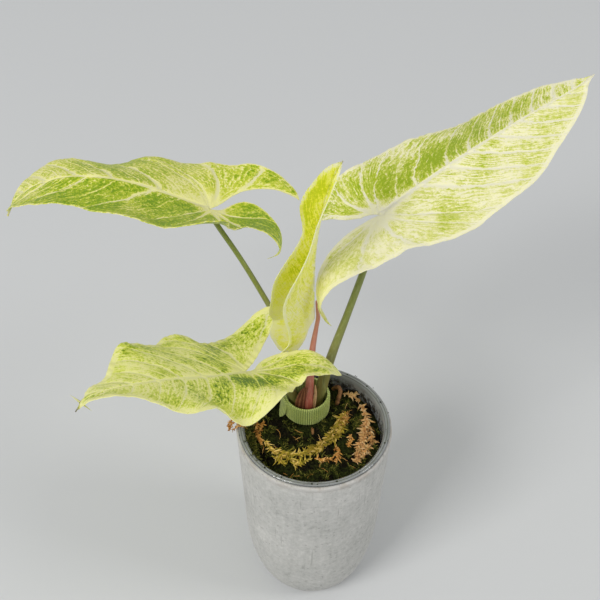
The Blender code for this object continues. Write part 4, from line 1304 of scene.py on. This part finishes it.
for other in (rib, half, minor, net, collar):
    vein = calc("MAXIMUM", vein, other)
vein = vein * given["Strength"] * step_map(pale, 0.60, 0.72, 1.0, 0.35)
print("vein nodes:", len(tree.nodes))

# %% Leaf pattern: green between the veins
from_hub = calc("SQRT", calc("POWER", across, 2.0) + calc("POWER", along, 2.0))
hub = step_map(from_hub, 13.0, 1.0)
streaks = clouds(node("CombineXYZ", {"X": number * 5.0, "Y": reach * 0.11, "Z": seed}),
                 2.8, 6.0, 0.66)
flecks = clouds(spot, 62.0, 6.0, 0.72)
large = clouds(spot, 5.5, 2.0)
mixed = streaks * given["Streak"] + flecks * (1.0 - given["Streak"])
level = (((mixed - 0.5) * 3.2 + (large - 0.5) * 1.2) * given["Contrast"]
         * step_map(from_hub, 3.0, 17.0, 0.45, 1.0) * step_map(pale, 0.60, 0.72, 1.0, 0.62))
green = level + (1.0 - pale)
for share, amount in ((vein, 0.80), (halo * given["Strength"], 0.7), (rib_halo, 0.6),
                      (hub, 0.65)):
    green = green - share * amount
border = given["Border"]
rim = step_map(margin, border, border * (flecks * 0.8), 0.0, 0.50)
plug(result.inputs["Green"], calc("SUBTRACT", green, rim, clamp=True))
plug(result.inputs["Vein"], vein)
plug(result.inputs["Height"], flecks * 0.35 + vein * -0.5)
print("leaf pattern nodes:", len(tree.nodes))

# %% Leaf faces
PATTERN_VALUES = ("Streak", "Net", "Seed", "Border", "Strength", "Width", "Contrast")
YOUNG_GLOW = (0.75, (0.0035, 0.0036, 0.0009))
GLOW = (0.35, (0.0022, 0.0023, 0.0006))


def leaf_finish(name, colours, values, upper=True):
    """A leaf face: colours run from cream to dark green."""
    made = new_material(name)
    own = {label: node("Attribute", output="Fac", attribute_name=label.lower())
           for label in ("Gap", "Margin", "Pale")}
    maps = {label: node("UVMap", uv_map=label.lower()) for label in ("Flat", "Veins")}
    green, height = use_group(leaf_pattern, {**maps, **own, **dict(zip(PATTERN_VALUES, values))},
                              "Green", "Height")
    colour = ramp(green, *zip((0.0, 0.34, 0.68, 1.0), colours))
    if name.startswith("leaf_front"):
        tip = node("Attribute", output="Fac", attribute_name="tip")
        colour = tint(step_map(tip, 3.5, 0.5), colour, (0.09, 0.07, 0.02))
    weight, radius = YOUNG_GLOW if name.startswith("leaf_young") else GLOW
    fill(Base_Color=colour, Roughness=0.40 if upper else 0.6, Specular_IOR_Level=0.24,
         Normal=relief(height if upper else height * -1.0, 0.0005, 0.5),
         Subsurface_Weight=weight, Subsurface_Radius=radius, Subsurface_Scale=1.0)
    return made


print("values of the leaf pattern:", PATTERN_VALUES)

# %% Colours of the four leaves
# colours from cream to dark green, then the pattern's values: share of streaks, net, seed,
# border in mm, vein strength and width, contrast of the flecks; share of the leaf's own tone
# below, slot
LEAF_FINISHES = {
    "leaf_right": (((0.91, 0.87, 0.58), (0.72, 0.72, 0.26), (0.48, 0.55, 0.045),
                    (0.31, 0.42, 0.010)), (0.70, 0.35, 1.3, 2.8, 1.0, 0.85, 1.1), 0.62,
                   "cream_blade"),
    "leaf_left": (((0.88, 0.84, 0.36), (0.64, 0.67, 0.085), (0.38, 0.49, 0.016),
                   (0.20, 0.34, 0.004)), (0.55, 0.45, 4.1, 1.3, 1.25, 1.15, 0.95), 0.62,
                  "green_blade"),
    "leaf_young": (((0.94, 0.91, 0.50), (0.90, 0.89, 0.20), (0.76, 0.79, 0.06),
                    (0.52, 0.60, 0.02)), (0.55, 0.15, 7.7, 2.4, 0.0, 0.3, 1.7), 0.30,
                   "young_blade"),
    "leaf_front": (((0.89, 0.87, 0.36), (0.70, 0.75, 0.13), (0.45, 0.54, 0.030),
                    (0.12, 0.23, 0.010)), (0.48, 0.35, 9.2, 3.8, 0.9, 0.55, 1.5), 0.62,
                   "cream_blade"),
}
UNDER_TONE = (0.78, 0.77, 0.40)
for name, (colours, values, own_share, slot) in LEAF_FINISHES.items():
    dull = [[own_share * c + (1 - own_share) * v for c, v in zip(tone, UNDER_TONE)]
            for tone in colours]
    streak, net, seed, border, strength, *rest = values
    faint = (streak, net * 0.7, seed, border, strength * 0.6, *rest)
    wear(blades[name], leaf_finish(name + " upper face", colours, values),
         leaf_finish(name + " underside", dull, faint, False))
    finish_piece(blades[name], name + "_blade", (name,))

# %% [markdown]
# ## Leaf stalks
# Each stalk rises from the crown, leans out and runs on under the midrib as a keel. The packed
# stalks are coarse, so finer tubes follow the same routes. Their finish runs from olive at the
# foot to fresh green under the blade, with fine lengthwise lines. The young stalk is pink.

# %% Stalk routes
# KEEL_SINK: depth of the keel's top under the middle of the blade, mm
KEEL_PLACES = (0.0, 0.5, 1.0)
KEEL_SINK = 0.55
# leaf: leaf carried; keel: how far the stalk runs on under the blade, with keel_radii at
# KEEL_PLACES; route: from the crown up, mm, with a radius at each point
STALKS = {
    "petiole_right": dict(
        leaf="leaf_right", keel=16.0, keel_radii=(1.6, 1.3, 0.8),
        route=((2.0, 16.4, 119.3), (2.1, 16.4, 122.5), (4.0, 18.0, 131.5), (8.2, 23.4, 149.8),
               (15.9, 32.3, 172.4), (23.2, 40.6, 195.0)),
        radius=(2.4, 2.5, 2.6, 2.4, 1.9, 1.75)),
    "petiole_left": dict(
        leaf="leaf_left", keel=14.0, keel_radii=(1.35, 1.1, 0.7),
        route=((-3.4, 21.6, 119.3), (-3.6, 21.9, 123.0), (-4.6, 23.0, 132.0),
               (-10.2, 31.6, 144.0), (-24.6, 46.6, 164.0), (-37.6, 53.8, 187.0)),
        radius=(2.2, 2.1, 1.9, 1.6, 1.45, 1.35)),
    "petiole_young": dict(
        leaf="leaf_young", keel=12.0, keel_radii=(1.1, 0.7, 0.5),
        route=((-3.3, 10.9, 119.3), (-3.2, 11.0, 123.0), (-2.9, 12.0, 131.0),
               (-2.3, 16.2, 144.0), (-1.5, 21.8, 157.0)),
        radius=(2.5, 2.5, 2.4, 2.0, 1.6)),
    "petiole_front": dict(
        leaf="leaf_front", keel=14.0, keel_radii=(1.7, 1.4, 0.8),
        route=((-9.6, 15.2, 119.3), (-10.1, 15.2, 123.0), (-11.9, 14.6, 131.0),
               (-15.6, 12.2, 141.0), (-22.5, 6.0, 152.5)),
        radius=(2.6, 2.6, 2.4, 2.2, 2.0)),
}
print("stalks:", len(STALKS))

# %% Stalk lines and tubes
def stalk_line(name, count=90):
    """Fine centre line and radii of a stalk, mm."""
    shape = STALKS[name]
    leaf = LEAVES[shape["leaf"]]
    along, points, side, up = leaf_spine(leaf, leaf["right"])
    route = list(shape["route"])
    for share, radius in zip(KEEL_PLACES, shape["keel_radii"]):
        foot, out = (np.array([np.interp(share * shape["keel"], along, table[:, k])
                               for k in range(3)]) for table in (points, up))
        point = foot - (KEEL_SINK + radius) * out
        if share == 0.0:
            route.append(tuple(np.array(route[-1]) * 0.3 + point * 0.7))
        route.append(tuple(point))
    radii = shape["radius"] + shape["keel_radii"][:1] + shape["keel_radii"]
    return smooth_line(route, count), np.interp(np.linspace(0, 1, count),
                                                np.linspace(0, 1, len(radii)), radii)


def tube(name, line, radii, sides=5):
    """A round tube through a line, made as a curve and turned into a mesh."""
    select_none()
    curve = bpy.data.curves.new(name, "CURVE")
    curve.dimensions = "3D"
    curve.bevel_depth = MM
    curve.bevel_resolution = sides
    curve.use_fill_caps = True
    path = curve.splines.new("POLY")
    path.points.add(len(line) - 1)
    for point, place, wide in zip(path.points, line, radii):
        point.co = (*(Vector(place) * MM), 1.0)
        point.radius = float(wide)
    item = add_object(name, curve)
    item.select_set(True)
    bpy.context.view_layer.objects.active = item
    bpy.ops.object.convert(target="MESH")
    return bpy.context.object


print("stalk helpers ready")

# %% Stalk finishes and stalks
stalk_pattern, given, result = new_group("stalk pattern", ("Place",), ("Low", "High"),
                                         ("Shade", "Lines"))
rise = step_map(axis(given["Place"], "Z"), given["Low"], given["High"])
plug(result.inputs["Shade"], rise + (clouds(given["Place"], 160.0) - 0.5) * 0.4)
plug(result.inputs["Lines"], clouds(stretched(given["Place"], 900.0, 900.0, 40.0), 1.0, 3.0))


def stalk_finish(name, foot, body, head, low, high, vein):
    """Stalk skin: colour by height, fine lengthwise lines, small blotches."""
    made = new_material(name)
    shade, lines = use_group(stalk_pattern, {"Place": object_place(), "Low": low, "High": high},
                             "Shade", "Lines")
    colour = ramp(shade, (0.0, foot), (0.35, body), (1.0, head))
    fill(Base_Color=tint(step_map(lines, 0.45, 0.75, 0.0, 0.45), colour, vein), Roughness=0.4,
         Normal=relief(lines, 0.0003, 0.5), Subsurface_Weight=0.10,
         Subsurface_Radius=(0.002, 0.002, 0.001))
    return made


olive = stalk_finish("olive stalk", (0.24, 0.22, 0.06), (0.21, 0.22, 0.05), (0.22, 0.27, 0.06),
                     0.120, 0.215, (0.32, 0.36, 0.14))
pink = stalk_finish("pink stalk", (0.42, 0.095, 0.060), (0.50, 0.16, 0.105), (0.52, 0.23, 0.15),
                    0.120, 0.185, (0.64, 0.33, 0.23))
for name in STALKS:
    item = tube(name + "_skin", *stalk_line(name))
    slot, skin = ("young_stalk", pink) if name == "petiole_young" else ("green_stalk", olive)
    finish_piece(item, name + "_skin", (name,))
    wear(item, skin)

# %% [markdown]
# ## Crown, sheaths, loop root and tie
# Where the stalks meet, their feet wrap each other in sheaths: olive, red-brown and papery tan.
# A ribbed green tie of soft hook tape holds them. A brown root arches out of the mix beside it.

# %% Sheaths
SHEATH_WALL = 0.35
WRAP_COLUMNS = 12
WRAP_ROWS = 28


def wrap(name, line, radius, start, end, top, replaced, finish, flare=0.35):
    """A thin pointed sheath round part of a stalk line, from start to end degrees."""
    item = add_grid(WRAP_COLUMNS, WRAP_ROWS)
    for vert in item.data.vertices:
        share, rise = vert.co.x + 0.5, vert.co.y + 0.5
        spot = rise * top * (len(line) - 1)
        index = min(int(spot), len(line) - 2)
        centre = Vector(line[index] * (1 - spot + index) + line[index + 1] * (spot - index))
        narrow = (1 - rise ** 2.2) ** 0.8 if rise < 1 else 0.0
        turn = (0.5 * (start + end) + (share - 0.5) * (end - start) * narrow) * DEG
        reach = radius * (1 + flare * rise ** 4) + 0.12 * math.sin(9 * share + 5 * rise)
        vert.co = (centre + Vector((math.cos(turn), math.sin(turn), 0)) * reach) * MM
    shade = item.data.attributes.new("shade", "FLOAT", "POINT")
    shade.data.foreach_set("value", [0.5 + 0.4 * math.sin(1.9 * (index % (WRAP_COLUMNS + 1)))
                                     for index in range(len(item.data.vertices))])
    weld(HAIR)
    thicken(item, SHEATH_WALL)
    wear(finish_piece(item, name, replaced), finish)


papery = thread_finish("papery sheath", (0.30, 0.14, 0.05), (0.55, 0.33, 0.15), (0.75, 0.52, 0.28))
rusty = thread_finish("red-brown sheath", (0.05, 0.016, 0.008), (0.14, 0.048, 0.022),
                      (0.34, 0.15, 0.07), 0.42)
brown_line = smooth_line(((-8.2, 11.2, 117.5), (-7.6, 11.2, 125.0), (-6.9, 11.8, 133.0),
                          (-6.2, 13.2, 141.0)), 30)
dry_line = smooth_line(((-0.3, 11.6, 117.5), (0.0, 11.5, 126.0), (0.5, 12.0, 134.0),
                        (0.2, 13.2, 141.0)), 30)
wrap("sheath_brown_wrap", brown_line, 2.5, 180, 390, 1.0, ("sheath_brown",), rusty)
wrap("sheath_dry_wrap", dry_line, 1.0, 210, 330, 1.0, ("sheath_dry",), papery, 0.6)
wrap("sheath_right_wrap", stalk_line("petiole_right")[0], 3.0, 120, 300, 0.33, (),
     olive)
wrap("sheath_front_wrap", stalk_line("petiole_front")[0], 3.0, -120, 60, 0.25, (),
     olive, 0.2)

# %% Loop root and crown
LOOP_POINTS = 60
LOOP_ROUTE = ((10.1, 31.0, 111.5), (10.5, 31.1, 115.0), (12.8, 29.3, 118.8), (13.9, 25.2, 120.3),
              (12.9, 21.2, 118.4), (11.9, 19.6, 115.0), (11.7, 19.2, 111.5))
bark = new_material("root bark")
grain = clouds(object_place(), 420.0, 4.0, 0.6)
fill(Base_Color=ramp(grain, (0.3, (0.09, 0.035, 0.012)), (0.55, (0.27, 0.12, 0.04)),
                     (0.75, (0.46, 0.24, 0.09))),
     Roughness=0.75, Normal=relief(grain, 0.0006, 0.8))
loop = tube("root_loop_skin", smooth_line(LOOP_ROUTE, LOOP_POINTS),
            [1.1 + 0.12 * math.sin(0.9 * k) for k in range(LOOP_POINTS)])
finish_piece(loop, "root_loop_skin", ("root_loop",))
wear(loop, bark)
wear(cad["crown"], bark)

# %% Band of the plant tie
TIE_RADIUS = 11.7
TIE_BOTTOM = 117.4
TIE_HEIGHT = 11.6
TIE_WALL = 1.0
TIE_RIBS = 64
select_none()
bpy.ops.mesh.primitive_cylinder_add(vertices=TIE_RIBS * 8, radius=TIE_RADIUS * MM,
                                    depth=TIE_HEIGHT * MM, end_fill_type="NOTHING")
band = bpy.context.object
work = bmesh.new()
work.from_mesh(band.data)
upright = [edge for edge in work.edges if abs(edge.verts[0].co.z - edge.verts[1].co.z) > 0.001]
bmesh.ops.subdivide_edges(work, edges=upright, cuts=9)
middle = Vector((*CROWN_PLACE, TIE_BOTTOM + TIE_HEIGHT / 2)) * MM
for vert in work.verts:
    angle = math.atan2(vert.co.y, vert.co.x)
    level = abs(vert.co.z) / (TIE_HEIGHT * MM / 2)
    rib = max(0.0, math.cos(TIE_RIBS * angle)) ** 0.6
    bump = 0.55 * MM * rib * (1 - max(0.0, level - 0.86) / 0.14 * 0.7)
    bump += 0.12 * MM * math.sin(3 * angle + 1.0) * (vert.co.z / (TIE_HEIGHT * MM))
    vert.co.xy += vert.co.xy.normalized() * bump
    vert.co += middle
work.to_mesh(band.data)
work.free()
thicken(band, TIE_WALL, -1.0)
finish_piece(band, "plant_tie_band", ("plant_tie",), 50)

# %% Flap of the plant tie
FLAP_ANGLE = 199.0
FLAP_HALF_WIDTH = 19.0
FLAP_BELOW = 1.6
flap = add_grid(24, 18)
for vert in flap.data.vertices:
    share, rise = 2 * vert.co.x, vert.co.y + 0.5
    narrow = math.sin(0.5 * math.pi * min(1.0, 0.06 + 1.5 * rise)) * (1.0 - 0.25 * rise)
    angle = (FLAP_ANGLE + FLAP_HALF_WIDTH * share * narrow) * DEG
    radius = TIE_RADIUS + 0.9 + 1.9 * (1 - rise) ** 1.6
    vert.co = ((CROWN_PLACE[0] + radius * math.cos(angle)) * MM,
               (CROWN_PLACE[1] + radius * math.sin(angle)) * MM,
               (TIE_BOTTOM - FLAP_BELOW + rise * (TIE_HEIGHT + FLAP_BELOW + 0.4)) * MM)
thicken(flap, TIE_WALL)
finish_piece(flap, "plant_tie_flap", (), 50)

# %% Hook tape
tape = new_material("green hook tape")
place = object_place()
weave = cells(place, 1500.0, "F1")
colour = ramp(clouds(place, 130.0, 3.0), (0.3, (0.66, 0.73, 0.19)), (0.7, (0.78, 0.84, 0.30)))
angle = calc("ARCTAN2", axis(place, "Y") - CROWN_PLACE[1] * MM,
             axis(place, "X") - CROWN_PLACE[0] * MM)
groove_shade = calc("COSINE", angle * float(TIE_RIBS))
# painted shade: the colour darkens in the grooves between the ribs
colour = tint(step_map(groove_shade, 0.3, -0.8, 0.0, 0.75), colour, (0.20, 0.28, 0.06))
colour = tint(step_map(weave, 0.25, 0.6, 0.0, 0.35), colour, (0.12, 0.24, 0.06))
fill(Base_Color=colour, Roughness=0.62, Normal=relief(weave, 0.0003, 0.6), Sheen_Weight=0.15)
for item in (band, flap):
    wear(item, tape)
print("tape nodes:", len(tree.nodes))
